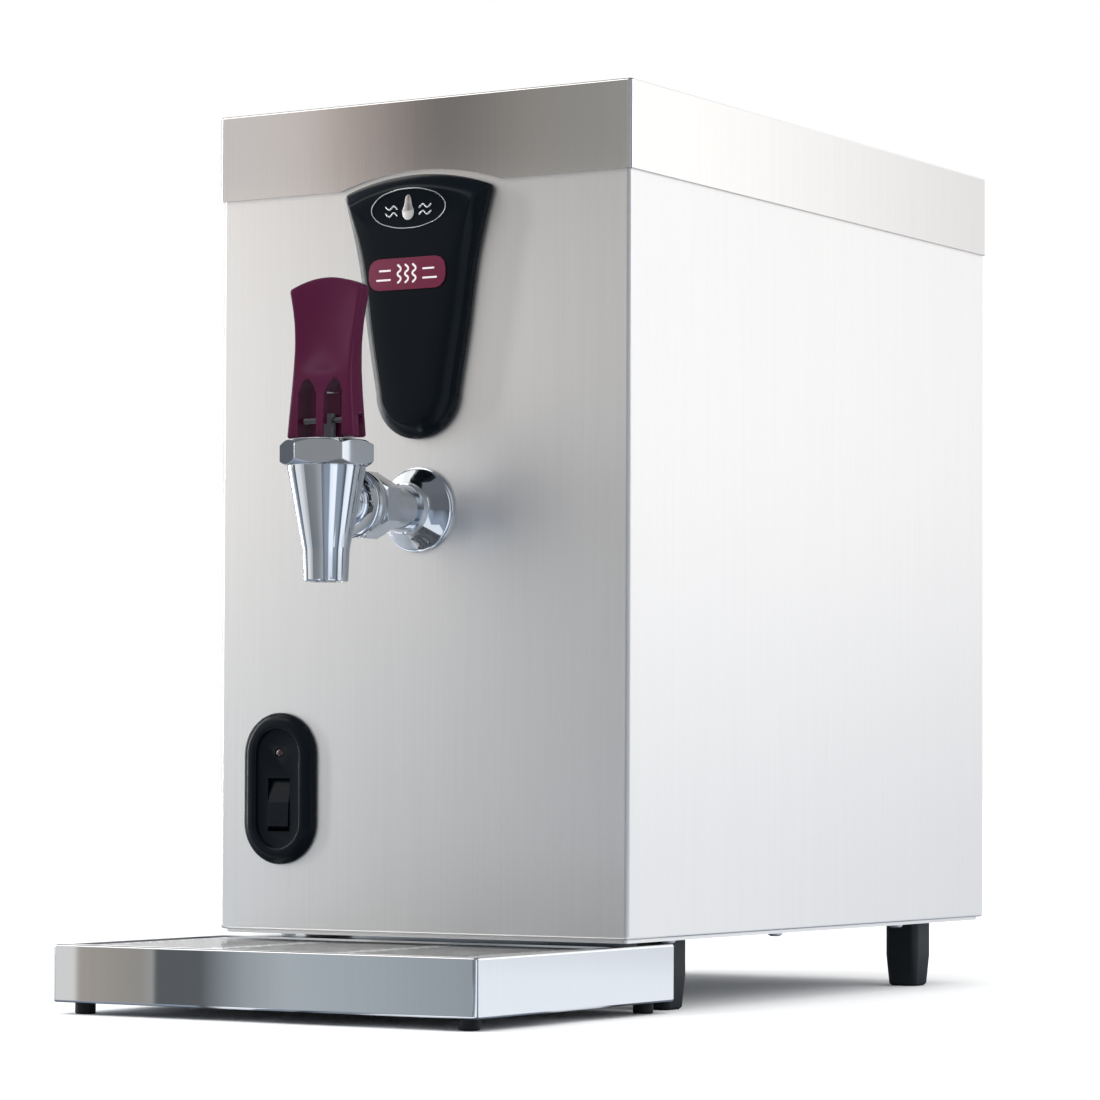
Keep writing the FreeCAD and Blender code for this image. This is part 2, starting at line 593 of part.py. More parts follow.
def tank():
    w = tankHalfWidth
    t = tankWall
    y0 = tankFrontY
    y1 = tankRearY
    f = tankFlange
    outer = roundedBox(-w, w, y0, y1, tankBaseZ, tankTopZ, 12.0)
    rim = roundedBox(-w - f, w + f, y0 - f, y1 + f, tankTopZ - t, tankTopZ, 14.0)
    inner = roundedBox(-w + t, w - t, y0 + t, y1 - t, tankBaseZ + t, tankTopZ + 1, 10.5)
    spigot = rod(8.0, (0, y0 - 17, shankZ), (0, y0 + 1, shankZ))
    inlet = rod(6.0, (inletX, y1 - 1, 190.0), (inletX, y1 + 18, 190.0))
    drainEnd = baseZ - panThickness - 3
    drain = rod(8.4, (drainX, drainY, drainEnd), (drainX, drainY, tankBaseZ + 1))
    studs = [rod(2.5, (x, y, tankBaseZ - 12), (x, y, tankBaseZ + 0.5)) for x, y in tankStudPlaces]
    shell = fuse([outer, rim]).cut(inner)
    shell = fuse([shell, spigot, inlet, drain] + studs)
    tools = [rod(5.2, (0, y0 - 30, shankZ), (0, y0 + 5, shankZ)),
             rod(4.0, (inletX, y1 - 5, 190.0), (inletX, y1 + 30, 190.0)),
             rod(drainBore, (drainX, drainY, drainEnd - 1), (drainX, drainY, tankBaseZ + 5)),
             rod(20.0, (0, 20.0, tankBaseZ - 5), (0, 20.0, tankBaseZ + 5))]
    bolts = [rod(2.5, (x, y, tankTopZ - 5), (x, y, tankTopZ + 9)) for x, y in tankBoltPlaces]
    save("tank_shell", shell.cut(tools + bolts))
    gasket = roundedBox(-w - f, w + f, y0 - f, y1 + f, tankTopZ, tankTopZ + 1.5, 14.0)
    gasket = gasket.cut([roundedBox(-w + t, w - t, y0 + t, y1 - t, tankTopZ - 1, tankTopZ + 3, 10.5)] + bolts)
    save("tank_gasket", gasket)
    top = roundedBox(-w - f, w + f, y0 - f, y1 + f, tankTopZ + 1.5, tankTopZ + 3.5, 14.0)
    vent = rod(8.0, (overflowX, 80.0, tankTopZ + 2), (overflowX, 80.0, tankTopZ + 14))
    ventBore = rod(5.5, (overflowX, 80.0, tankTopZ - 2), (overflowX, 80.0, tankTopZ + 20))
    probes = [rod(3.1, (x, -20.0, tankTopZ - 2), (x, -20.0, tankTopZ + 6)) for x in (-22.0, 0.0, 22.0)]
    sensor = rod(4.1, (-45.0, 30.0, tankTopZ - 2), (-45.0, 30.0, tankTopZ + 6))
    save("tank_lid", fuse([top, vent]).cut([ventBore, sensor] + probes + bolts))
    heads = [panHead(x, y, tankTopZ + 3.5, (0, 0, 1), 4.2, 3.0, 2.5, 10.0) for x, y in tankBoltPlaces]
    save("tank_lid_screws", Part.makeCompound(heads))
    jacket = roundedBox(-w - 9, w + 9, y0 - 9, y1 + 9, tankBaseZ + 3, tankTopZ - t, 16.0)
    core = roundedBox(-w, w, y0, y1, tankBaseZ, tankTopZ, 12.0)
    ports = [rod(12.5, (0, y0 - 20, shankZ), (0, y0 + 5, shankZ)), rod(9.0, (inletX, y1 - 3, 190.0), (inletX, y1 + 20, 190.0)),
             rod(13.5, (w - 2, 20.0, 205.0), (w + 20, 20.0, 205.0))]
    nuts = [rod(5.0, (x, y, tankTopZ - 9), (x, y, tankTopZ)) for x, y in tankBoltPlaces]
    save("tank_insulation", jacket.cut([core] + ports + nuts))


def tankFittings():
    hose = tube(11.0, 8.0, (0, -112.0, shankZ), (0, -74.0, shankZ))
    save("outlet_hose", hose)
    clamps = []
    for y in (-108.0, -84.0):
        band = tube(12.0, 11.0, (0, y - 4, shankZ), (0, y + 4, shankZ))
        screw = box(-5, 5, y - 3.5, y + 3.5, shankZ + 11.5, shankZ + 17.0)
        clamps.append(fuse([band, screw]))
    save("hose_clamps", Part.makeCompound(clamps))
    flange = rod(26.0, (0, 20.0, tankBaseZ - 5), (0, 20.0, tankBaseZ - 1.5))
    plug = rod(19.9, (0, 20.0, tankBaseZ - 1.5), (0, 20.0, tankBaseZ + 4))
    head = hexagon(36.0, (0, 20.0, tankBaseZ - 13), (0, 20.0, tankBaseZ - 5))
    rods = [rod(4.0, (0, 20.0 + s * 11, tankBaseZ + 3), (0, 20.0 + s * 11, 250.0)) for s in (-1, 1)]
    bend = Part.makeTorus(11.0, 4.0, Vector(0, 20.0, 250.0), X).common(box(-8, 8, -5, 45, 250.0, 275.0))
    tabs = [box(-3, 3, 20.0 + s * 8 - 0.4, 20.0 + s * 8 + 0.4, tankBaseZ - 22, tankBaseZ - 13) for s in (-1, 1)]
    save("heating_element", fuse([flange, plug, head, bend] + rods + tabs))
    gasket = tube(26.0, 20.0, (0, 20.0, tankBaseZ - 1.5), (0, 20.0, tankBaseZ))
    save("element_gasket", gasket)
    top = tankTopZ + 3.5
    sensor = fuse([rod(3.0, (-45.0, 30.0, 240.0), (-45.0, 30.0, top)), rod(4.1, (-45.0, 30.0, top - 2), (-45.0, 30.0, top)),
                   hexagon(13.0, (-45.0, 30.0, top), (-45.0, 30.0, top + 6))])
    save("temperature_probe", sensor)
    pins = []
    for x, depth in ((-22.0, 230.0), (0.0, 300.0), (22.0, 345.0)):
        pins.append(fuse([rod(1.5, (x, -20.0, depth), (x, -20.0, top + 12)), rod(3.1, (x, -20.0, top - 2), (x, -20.0, top)),
                          rod(5.0, (x, -20.0, top), (x, -20.0, top + 5))]))
    save("level_probes", Part.makeCompound(pins))
    w = tankHalfWidth
    cup = rod(12.0, (w, 20.0, 205.0), (w + 7, 20.0, 205.0))
    terminals = [box(w + 7, w + 14, 20.0 + s * 6 - 3, 20.0 + s * 6 + 3, 204.6, 205.4) for s in (-1, 1)]
    button = rod(2.5, (w + 7, 20.0, 205.0 + 6), (w + 9, 20.0, 205.0 + 6))
    save("overheat_cutout", fuse([cup, button] + terminals))


def tankBrackets():
    for name, y in (("front_tank_bracket", -50.0), ("rear_tank_bracket", rearBracketY)):
        t = 1.5
        shelf = box(-68, 68, y - 12, y + 12, tankBaseZ - t, tankBaseZ)
        pieces = [shelf]
        for s in (-1, 1):
            x0, x1 = sorted((s * 68.0, s * (68.0 - t)))
            pieces.append(box(x0, x1, y - 12, y + 12, baseZ, tankBaseZ))
            f0, f1 = sorted((s * 68.0, s * 88.0))
            pieces.append(box(f0, f1, y - 12, y + 12, baseZ, baseZ + t))
        tools = [rod(2.5, (x, y, tankBaseZ - 5), (x, y, tankBaseZ + 5)) for x in (-58.0, 58.0)]
        tools += [rod(2.0, (x, y, baseZ - 5), (x, y, baseZ + 5)) for x in (-80.0, 80.0)]
        save(name, fuse(pieces).cut(tools))
    fixings = [panHead(x, y, baseZ + 1.5, (0, 0, 1), 3.6, 2.2, 2.0, 3.0) for x, y in bracketScrewPlaces]
    for x, y in tankStudPlaces:
        nut = hexagon(8.0, (x, y, tankBaseZ - 5.5), (x, y, tankBaseZ - 1.5))
        fixings.append(nut.cut(rod(2.5, (x, y, tankBaseZ - 9), (x, y, tankBaseZ))))
    save("bracket_screws", Part.makeCompound(fixings))


def waterServices():
    inside = rearY - sheet
    thread = rod(inletThreadRadius, (inletX, rearY, inletZ), (inletX, fittingEndY, inletZ))
    collar = rod(13.5, (inletX, inside, inletZ), (inletX, rearY, inletZ))
    flange = roundedBox(inletX - 23.5, inletX + 23.5, inside - 3, inside, inletZ - 17, inletZ + 17, 4.0, Y)
    body = rod(14.0, (inletX, 196.0, inletZ), (inletX, inside - 3, inletZ))
    nose = rod(6.0, (inletX, 178.0, inletZ), (inletX, 196.0, inletZ))
    mouth = rod(9.5, (inletX, 236.0, inletZ), (inletX, fittingEndY + 1, inletZ))
    bore = rod(4.0, (inletX, 170.0, inletZ), (inletX, fittingEndY, inletZ))
    post = rod(11.0, (inletX, 212.0, inletZ), (inletX, 212.0, inletZ + 18))
    holes = [rod(2.0, (x, 230, z), (x, 240, z)) for x, z in valveScrewPlaces]
    save("inlet_valve", fuse([thread, collar, flange, body, nose, post]).cut([mouth, bore] + holes))
    coil = roundedBox(inletX - 14, inletX + 14, 196.0, 228.0, inletZ + 18, inletZ + 48, 3.0)
    blades = [box(inletX + s * 6 - 3, inletX + s * 6 + 3, 188.0, 196.0, inletZ + 32, inletZ + 32.8) for s in (-1, 1)]
    save("valve_coil", fuse([coil] + blades))
    route = [(inletX, 190.0, inletZ), (inletX, 150.0, inletZ), (inletX, 150.0, 190.0), (inletX, 116.0, 190.0)]
    save("fill_hose", bentTube(route, 24.0, 8.0, 6.0))
    top = tankTopZ + 8.0
    route = [(overflowX, 80.0, top), (overflowX, 80.0, 410.0), (overflowX, 205.0, 410.0),
             (overflowX, 205.0, overflowZ), (overflowX, 232.0, overflowZ)]
    save("vent_hose", bentTube(route, 17.0, 10.5, 8.0))
    stub = [rod(7.5, (overflowX, rearY, overflowZ), (overflowX, 259.0, overflowZ)),
            rod(7.2, (overflowX, rearY - 2, overflowZ), (overflowX, rearY, overflowZ)),
            rod(10.4, (overflowX, rearY - 4.5, overflowZ), (overflowX, rearY - sheet, overflowZ)),
            rod(8.0, (overflowX, 222.0, overflowZ), (overflowX, rearY - 4.5, overflowZ))]
    save("overflow_outlet", fuse(stub).cut(rod(5.5, (overflowX, 210, overflowZ), (overflowX, 262, overflowZ))))
    z0 = baseZ - panThickness
    cap = rod(11.0, (drainX, drainY, z0 - 13), (drainX, drainY, z0 - 3)).fuse(
        rod(drainBore, (drainX, drainY, z0 - 3), (drainX, drainY, z0 + 9)))
    save("drain_plug", cap.removeSplitter())


def electrics():
    board = box(-52, 52, -30, 52, 47.0, 48.6)
    places = [(sx * 46.0, y) for sx in (-1, 1) for y in (-24.0, 46.0)]
    holes = [rod(1.6, (x, y, 45), (x, y, 50)) for x, y in places]
    save("circuit_board", board.cut(holes))
    posts = []
    for x, y in places:
        posts.append(fuse([rod(3.5, (x, y, baseZ), (x, y, 47.0)), rod(1.6, (x, y, 47.0), (x, y, 51.0))]))
    save("board_posts", Part.makeCompound(posts))
    chips = [box(-40, -8, -20, 14, 48.6, 74.0), box(0, 20, -18, 10, 48.6, 64.0), box(26, 46, -18, 10, 48.6, 64.0),
             rod(7.0, (-30, 34, 48.6), (-30, 34, 70.0)), box(-10, 46, 28, 40, 48.6, 60.0)]
    save("board_components", Part.makeCompound(chips))
    block = box(60, 98, 150, 166, baseZ, baseZ + 18)
    ways = [rod(2.6, (66 + k * 13, 158, baseZ + 8), (66 + k * 13, 158, baseZ + 19)) for k in range(3)]
    save("terminal_block", block.cut(ways))
    inside = rearY - sheet
    pieces = [hexagon(22.0, (glandX, rearY, glandZ), (glandX, rearY + 6, glandZ)),
              rod(10.0, (glandX, rearY + 6, glandZ), (glandX, rearY + 18, glandZ)),
              rod(8.0, (glandX, inside - 9, glandZ), (glandX, rearY, glandZ))]
    save("cable_gland", fuse(pieces).cut(rod(4.2, (glandX, 200, glandZ), (glandX, 262, glandZ))))


os.makedirs("parts", exist_ok=True)
outerCasing()
lid()
rearPanel()
basePan()
feet()
badge()
switchPanel()
tapBody()
tapTop()
tapHandle()
tapConnection()
dripTray()
tank()
tankFittings()
tankBrackets()
waterServices()
electrics()
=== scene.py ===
import json
import math
from math import cos, pi, radians, sin

import bmesh
import bpy
from mathutils import Matrix, Vector


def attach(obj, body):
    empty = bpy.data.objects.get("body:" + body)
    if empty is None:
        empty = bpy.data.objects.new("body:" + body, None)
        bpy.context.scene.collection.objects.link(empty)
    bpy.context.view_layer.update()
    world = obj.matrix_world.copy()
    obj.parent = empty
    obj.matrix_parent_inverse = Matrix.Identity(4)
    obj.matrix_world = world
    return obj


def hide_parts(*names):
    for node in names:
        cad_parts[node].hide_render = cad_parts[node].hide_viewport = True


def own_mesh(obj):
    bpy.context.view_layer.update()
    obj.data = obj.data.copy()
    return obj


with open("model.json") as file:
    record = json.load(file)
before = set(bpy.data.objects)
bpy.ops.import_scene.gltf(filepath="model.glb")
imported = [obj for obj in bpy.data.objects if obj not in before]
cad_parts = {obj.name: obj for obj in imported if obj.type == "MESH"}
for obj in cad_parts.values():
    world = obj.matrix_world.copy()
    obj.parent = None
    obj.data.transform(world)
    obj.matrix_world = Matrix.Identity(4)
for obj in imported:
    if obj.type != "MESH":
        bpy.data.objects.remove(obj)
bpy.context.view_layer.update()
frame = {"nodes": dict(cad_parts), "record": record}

scene = bpy.context.scene
nodes = frame["nodes"]
mm = 0.001
print("frame loaded:", len(nodes), "nodes")


# Small helpers for meshes.

def newObject(name, mesh):
    made = bpy.data.objects.new(name, mesh)
    scene.collection.objects.link(made)
    return made


def meshFrom(bm, name, sharpAngle=32):
    bmesh.ops.recalc_face_normals(bm, faces=bm.faces[:])
    mesh = bpy.data.meshes.new(name)
    bm.to_mesh(mesh)
    bm.free()
    mesh.shade_smooth()
    mesh.set_sharp_from_angle(angle=radians(sharpAngle))
    return mesh


def vertsOf(made):
    return [g for g in made["geom"] if isinstance(g, bmesh.types.BMVert)]


def settle(piece):
    # Applies the piece's modifiers so that only its finished mesh is left.
    graph = bpy.context.evaluated_depsgraph_get()
    done = bpy.data.meshes.new_from_object(piece.evaluated_get(graph))
    old = piece.data
    piece.modifiers.clear()
    piece.data = done
    bpy.data.meshes.remove(old)
    return piece


def carve(piece, cutter, operation="DIFFERENCE"):
    change = piece.modifiers.new(operation.lower(), "BOOLEAN")
    change.operation = operation
    change.solver = "EXACT"
    change.object = cutter
    settle(piece)
    bpy.data.objects.remove(cutter)
    return piece


def sharpen(piece, angle=32):
    piece.data.shade_smooth()
    piece.data.set_sharp_from_angle(angle=radians(angle))
    return piece


def soften(piece, width, segments=3, angle=30):
    edge = piece.modifiers.new("edge", "BEVEL")
    edge.width = width
    edge.segments = segments
    edge.limit_method = "ANGLE"
    edge.angle_limit = radians(angle)
    edge.harden_normals = True
    return piece


def joined(name, pieces):
    # Several meshes become one object; they keep their own shading.
    bm = bmesh.new()
    for piece in pieces:
        bm.from_mesh(piece.data)
    mesh = bpy.data.meshes.new(name)
    bm.to_mesh(mesh)
    bm.free()
    for piece in pieces:
        bpy.data.objects.remove(piece)
    return newObject(name, mesh)


def turned(name, profile, centre, axis="Z", segments=96, sharpAngle=32, closed=False):
    # A lathe profile of (radius, height along the axis), spun round the axis.
    bm = bmesh.new()
    verts = [bm.verts.new((r * mm, 0, h * mm)) for r, h in profile]
    for a, b in zip(verts, verts[1:]):
        bm.edges.new((a, b))
    if closed:
        bm.edges.new((verts[-1], verts[0]))
    bmesh.ops.spin(bm, geom=bm.verts[:] + bm.edges[:], cent=(0, 0, 0), axis=(0, 0, 1), angle=2 * pi,
                   steps=segments, use_merge=True)
    bmesh.ops.remove_doubles(bm, verts=bm.verts[:], dist=1e-6)
    if axis == "Y":
        bmesh.ops.rotate(bm, verts=bm.verts[:], cent=(0, 0, 0), matrix=Matrix.Rotation(radians(-90), 3, "X"))
    if axis == "X":
        bmesh.ops.rotate(bm, verts=bm.verts[:], cent=(0, 0, 0), matrix=Matrix.Rotation(radians(90), 3, "Y"))
    bmesh.ops.translate(bm, verts=bm.verts[:], vec=Vector(centre) * mm)
    return newObject(name, meshFrom(bm, name, sharpAngle))


def block(name, low, high):
    bm = bmesh.new()
    bmesh.ops.create_cube(bm, size=1.0)
    size = (Vector(high) - Vector(low)) * mm
    bmesh.ops.scale(bm, verts=bm.verts[:], vec=size)
    bmesh.ops.translate(bm, verts=bm.verts[:], vec=(Vector(high) + Vector(low)) / 2 * mm)
    return newObject(name, meshFrom(bm, name))


def stackRings(name, outline, level, rings, sharpAngle):
    # Copies of an outline, each drawn in by an inset and raised towards the front, joined edge to edge.
    bm = bmesh.new()
    ring = [bm.verts.new((p[0] * mm, level * mm, p[1] * mm)) for p in outline(rings[0][0])]
    edges = [bm.edges.new((a, b)) for a, b in zip(ring, ring[1:] + ring[:1])]
    back = edges[:]
    for inset, rise in rings[1:]:
        bmesh.ops.extrude_edge_only(bm, edges=edges)
        lifted = []
        for vert in ring:
            lifted.append([e.other_vert(vert) for e in vert.link_edges][-1])
        for vert, p in zip(lifted, outline(inset)):
            vert.co = Vector((p[0], level - rise, p[1])) * mm
        edges = [bm.edges.get((a, b)) for a, b in zip(lifted, lifted[1:] + lifted[:1])]
        ring = lifted
    bmesh.ops.contextual_create(bm, geom=edges)
    bmesh.ops.contextual_create(bm, geom=back)
    return newObject(name, meshFrom(bm, name, sharpAngle))


def stadiumPoints(x, z, width, height, count=24):
    r = width / 2
    half = height / 2 - r
    points = []
    for k in range(count + 1):
        a = pi * k / count
        points.append((x + r * cos(a), z + half + r * sin(a)))
    for k in range(count + 1):
        a = pi + pi * k / count
        points.append((x + r * cos(a), z - half + r * sin(a)))
    return points


nut = {"faceShare": 0.965, "coneOverhang": 1.0}  # how much of the flats' width the end faces keep


def hexNut(name, acrossFlats, height, turn, chamfer):
    # Hexagonal nut along Z, both ends turned down to a cone.
    bm = bmesh.new()
    corner = acrossFlats / 2 / cos(pi / 6)
    ring = bmesh.ops.create_circle(bm, segments=6, radius=corner * mm, cap_ends=True)["verts"]
    bmesh.ops.rotate(bm, verts=ring, cent=(0, 0, 0), matrix=Matrix.Rotation(radians(turn), 3, "Z"))
    up = bmesh.ops.extrude_face_region(bm, geom=bm.faces[:], use_keep_orig=True)
    bmesh.ops.translate(bm, verts=vertsOf(up), vec=(0, 0, height * mm))
    prism = newObject(name, meshFrom(bm, name))
    flat = acrossFlats / 2 * nut["faceShare"]
    reach = corner + nut["coneOverhang"]
    slope = (reach - flat) * chamfer
    profile = [(0, 0), (flat, 0), (reach, slope), (reach, height - slope), (flat, height), (0, height)]
    cone = turned("cone", profile, (0, 0, 0))
    carve(prism, cone, "INTERSECT")
    return prism


def place(piece, centre, axis="Z"):
    if axis == "Y":
        piece.data.transform(Matrix.Rotation(radians(-90), 4, "X"))
    piece.data.transform(Matrix.Translation(Vector(centre) * mm))
    return piece


def hand(piece, body, material, slotName, *replaced):
    # Gives the piece its finish, its body and the CAD nodes that it stands for.
    piece.data.materials.clear()
    piece.data.materials.append(material)
    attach(piece, body)
    if replaced:
        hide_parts(*replaced)
    return piece


# Shader groups.

def startGroup(name, inputs, outputs):
    group = bpy.data.node_groups.new(name, "ShaderNodeTree")
    for label, value in inputs:
        socket = group.interface.new_socket(name=label, in_out="INPUT", socket_type="NodeSocketFloat")
        socket.default_value = value
    for label in outputs:
        group.interface.new_socket(name=label, in_out="OUTPUT", socket_type="NodeSocketFloat")
    return group, group.nodes.new("NodeGroupInput"), group.nodes.new("NodeGroupOutput")


def addMath(tree, operation, a, b, clamp=False):
    node = tree.nodes.new("ShaderNodeMath")
    node.operation = operation
    node.use_clamp = clamp
    for socket, value in ((node.inputs[0], a), (node.inputs[1], b)):
        if hasattr(value, "is_linked"):
            tree.links.new(value, socket)
        else:
            socket.default_value = value
    return node.outputs[0]


def addNoise(tree, vector, scale, detail=3.0, rough=0.5):
    node = tree.nodes.new("ShaderNodeTexNoise")
    node.inputs["Scale"].default_value = scale
    node.inputs["Detail"].default_value = detail
    node.inputs["Roughness"].default_value = rough
    tree.links.new(vector, node.inputs["Vector"])
    return node.outputs["Fac"]


def stretched(tree, vector, scale):
    node = tree.nodes.new("ShaderNodeMapping")
    node.inputs["Scale"].default_value = scale
    tree.links.new(vector, node.inputs["Vector"])
    return node.outputs["Vector"]


def makeGrainGroup():
    # Fine parallel lines from the polishing belt.
    group, start, end = startGroup("beltGrain", [("Fineness", 1.0)], ["Lines"])
    where = group.nodes.new("ShaderNodeTexCoord").outputs["Object"]
    scaled = group.nodes.new("ShaderNodeVectorMath")
    scaled.operation = "SCALE"
    group.links.new(where, scaled.inputs[0])
    group.links.new(start.outputs["Fineness"], scaled.inputs["Scale"])
    fine = addNoise(group, stretched(group, scaled.outputs[0], (1500, 1500, 14)), 1.0, 2.0)
    coarse = addNoise(group, stretched(group, scaled.outputs[0], (420, 420, 5)), 1.0, 2.0)
    lines = addMath(group, "ADD", addMath(group, "MULTIPLY", fine, 0.65),
                    addMath(group, "MULTIPLY", coarse, 0.35))
    group.links.new(lines, end.inputs["Lines"])
    return group


def makeSmudgeGroup():
    # Wiping marks and finger haze that change how sharp a polished face is.
    group, start, end = startGroup("handHaze", [("Size", 18.0)], ["Haze"])
    where = group.nodes.new("ShaderNodeTexCoord").outputs["Object"]
    haze = group.nodes.new("ShaderNodeTexNoise")
    haze.inputs["Detail"].default_value = 5.0
    haze.inputs["Distortion"].default_value = 0.8
    group.links.new(where, haze.inputs["Vector"])
    group.links.new(start.outputs["Size"], haze.inputs["Scale"])
    group.links.new(haze.outputs["Fac"], end.inputs["Haze"])
    return group


def makeMouldGroup():
    # The faint orange peel and flow of moulded plastic or rubber.
    group, start, end = startGroup("mouldSkin", [("Scale", 900.0)], ["Skin", "Flow"])
    where = group.nodes.new("ShaderNodeTexCoord").outputs["Object"]
    skin = group.nodes.new("ShaderNodeTexNoise")
    skin.inputs["Detail"].default_value = 2.0
    group.links.new(where, skin.inputs["Vector"])
    group.links.new(start.outputs["Scale"], skin.inputs["Scale"])
    group.links.new(skin.outputs["Fac"], end.inputs["Skin"])
    group.links.new(addNoise(group, where, 30.0, 2.0), end.inputs["Flow"])
    return group


def makeEdgeWearAndHighlightGroup():
    # Where a surface bends sharply: worn edges, and a painted highlight along the ridges.
    group, start, end = startGroup("edgeRubAndHighlight", [("Low", 0.52), ("High", 0.62)], ["Edge"])
    shape = group.nodes.new("ShaderNodeNewGeometry")
    ramp = group.nodes.new("ShaderNodeMapRange")
    group.links.new(shape.outputs["Pointiness"], ramp.inputs["Value"])
    group.links.new(start.outputs["Low"], ramp.inputs["From Min"])
    group.links.new(start.outputs["High"], ramp.inputs["From Max"])
    where = group.nodes.new("ShaderNodeTexCoord").outputs["Object"]
    broken = addNoise(group, where, 260.0, 4.0)
    group.links.new(addMath(group, "MULTIPLY", ramp.outputs["Result"], broken), end.inputs["Edge"])
    return group


grainGroup = makeGrainGroup()
smudgeGroup = makeSmudgeGroup()
mouldGroup = makeMouldGroup()
edgeWearAndHighlightGroup = makeEdgeWearAndHighlightGroup()
print("shader groups ready")


# Materials.

def startMaterial(name, color, metallic, roughness):
    material = bpy.data.materials.new(name)
    material.use_nodes = True
    tree = material.node_tree
    shader = tree.nodes["Principled BSDF"]
    shader.inputs["Base Color"].default_value = (*color, 1)
    shader.inputs["Metallic"].default_value = metallic
    shader.inputs["Roughness"].default_value = roughness
    material.diffuse_color = (*color, 1)
    return material, tree, shader


def useGroup(tree, group, **values):
    node = tree.nodes.new("ShaderNodeGroup")
    node.node_tree = group
    for label, value in values.items():
        node.inputs[label].default_value = value
    return node


def span(tree, value, low, high):
    # Maps a 0..1 value on to a range.
    node = tree.nodes.new("ShaderNodeMapRange")
    node.inputs["To Min"].default_value = low
    node.inputs["To Max"].default_value = high
    tree.links.new(value, node.inputs["Value"])
    return node.outputs["Result"]


def blendColor(tree, factor, a, b):
    node = tree.nodes.new("ShaderNodeMix")
    node.data_type = "RGBA"
    tree.links.new(factor, node.inputs["Factor"])
    for socket, value in ((node.inputs["A"], a), (node.inputs["B"], b)):
        if hasattr(value, "is_linked"):
            tree.links.new(value, socket)
        else:
            socket.default_value = (*value, 1)
    return node.outputs["Result"]


def fillRamp(ramp, stops):
    marks = ramp.color_ramp.elements
    marks[0].position, marks[0].color = stops[0][0], (*stops[0][1], 1)
    marks[1].position, marks[1].color = stops[-1][0], (*stops[-1][1], 1)
    for position, color in stops[1:-1]:
        marks.new(position).color = (*color, 1)


def relief(tree, shader, height, strength, distance):
    node = tree.nodes.new("ShaderNodeBump")
    node.inputs["Strength"].default_value = strength
    node.inputs["Distance"].default_value = distance
    tree.links.new(height, node.inputs["Height"])
    tree.links.new(node.outputs["Normal"], shader.inputs["Normal"])


def steelFinish(name, pale, dark, roughLow, roughHigh, fineness=1.0, lineDepth=0.12):
    material, tree, shader = startMaterial(name, pale, 1.0, roughLow)
    grain = useGroup(tree, grainGroup, Fineness=fineness)
    haze = useGroup(tree, smudgeGroup, Size=7.0)
    tone = blendColor(tree, span(tree, grain.outputs["Lines"], 0.0, 1.0), dark, pale)
    tree.links.new(tone, shader.inputs["Base Color"])
    mixed = addMath(tree, "ADD", addMath(tree, "MULTIPLY", grain.outputs["Lines"], 0.6),
                    addMath(tree, "MULTIPLY", haze.outputs["Haze"], 0.4))
    tree.links.new(span(tree, mixed, roughLow, roughHigh), shader.inputs["Roughness"])
    relief(tree, shader, grain.outputs["Lines"], lineDepth, 0.0002)
    return material


def mouldedFinish(name, color, second, roughness, coat=0.0, skinDepth=0.1, skinScale=900.0, wearAndHighlight=0.0, shine=0.5):
    material, tree, shader = startMaterial(name, color, 0.0, roughness)
    skin = useGroup(tree, mouldGroup, Scale=skinScale)
    haze = useGroup(tree, smudgeGroup, Size=26.0)
    tone = blendColor(tree, skin.outputs["Flow"], color, second)
    if wearAndHighlight:
        # convex edges painted lighter: partly wear, partly a painted highlight along the ridges
        edge = useGroup(tree, edgeWearAndHighlightGroup)
        tone = blendColor(tree, addMath(tree, "MULTIPLY", edge.outputs["Edge"], wearAndHighlight), tone,
                          tuple(min(1.0, c * 2.2 + 0.03) for c in color))
    tree.links.new(tone, shader.inputs["Base Color"])
    tree.links.new(span(tree, haze.outputs["Haze"], roughness * 0.8, roughness * 1.35), shader.inputs["Roughness"])
    shader.inputs["Specular IOR Level"].default_value = shine
    shader.inputs["Coat Weight"].default_value = coat
    shader.inputs["Coat Roughness"].default_value = 0.06
    relief(tree, shader, skin.outputs["Skin"], skinDepth, 0.00012)
    return material


def platedFinish(name, color, second, roughness, hazeAmount=0.05):
    material, tree, shader = startMaterial(name, color, 1.0, roughness)
    haze = useGroup(tree, smudgeGroup, Size=40.0)
    tree.links.new(blendColor(tree, haze.outputs["Haze"], color, second), shader.inputs["Base Color"])
    tree.links.new(span(tree, haze.outputs["Haze"], roughness, roughness + hazeAmount), shader.inputs["Roughness"])
    relief(tree, shader, haze.outputs["Haze"], 0.02, 0.0004)
    return material


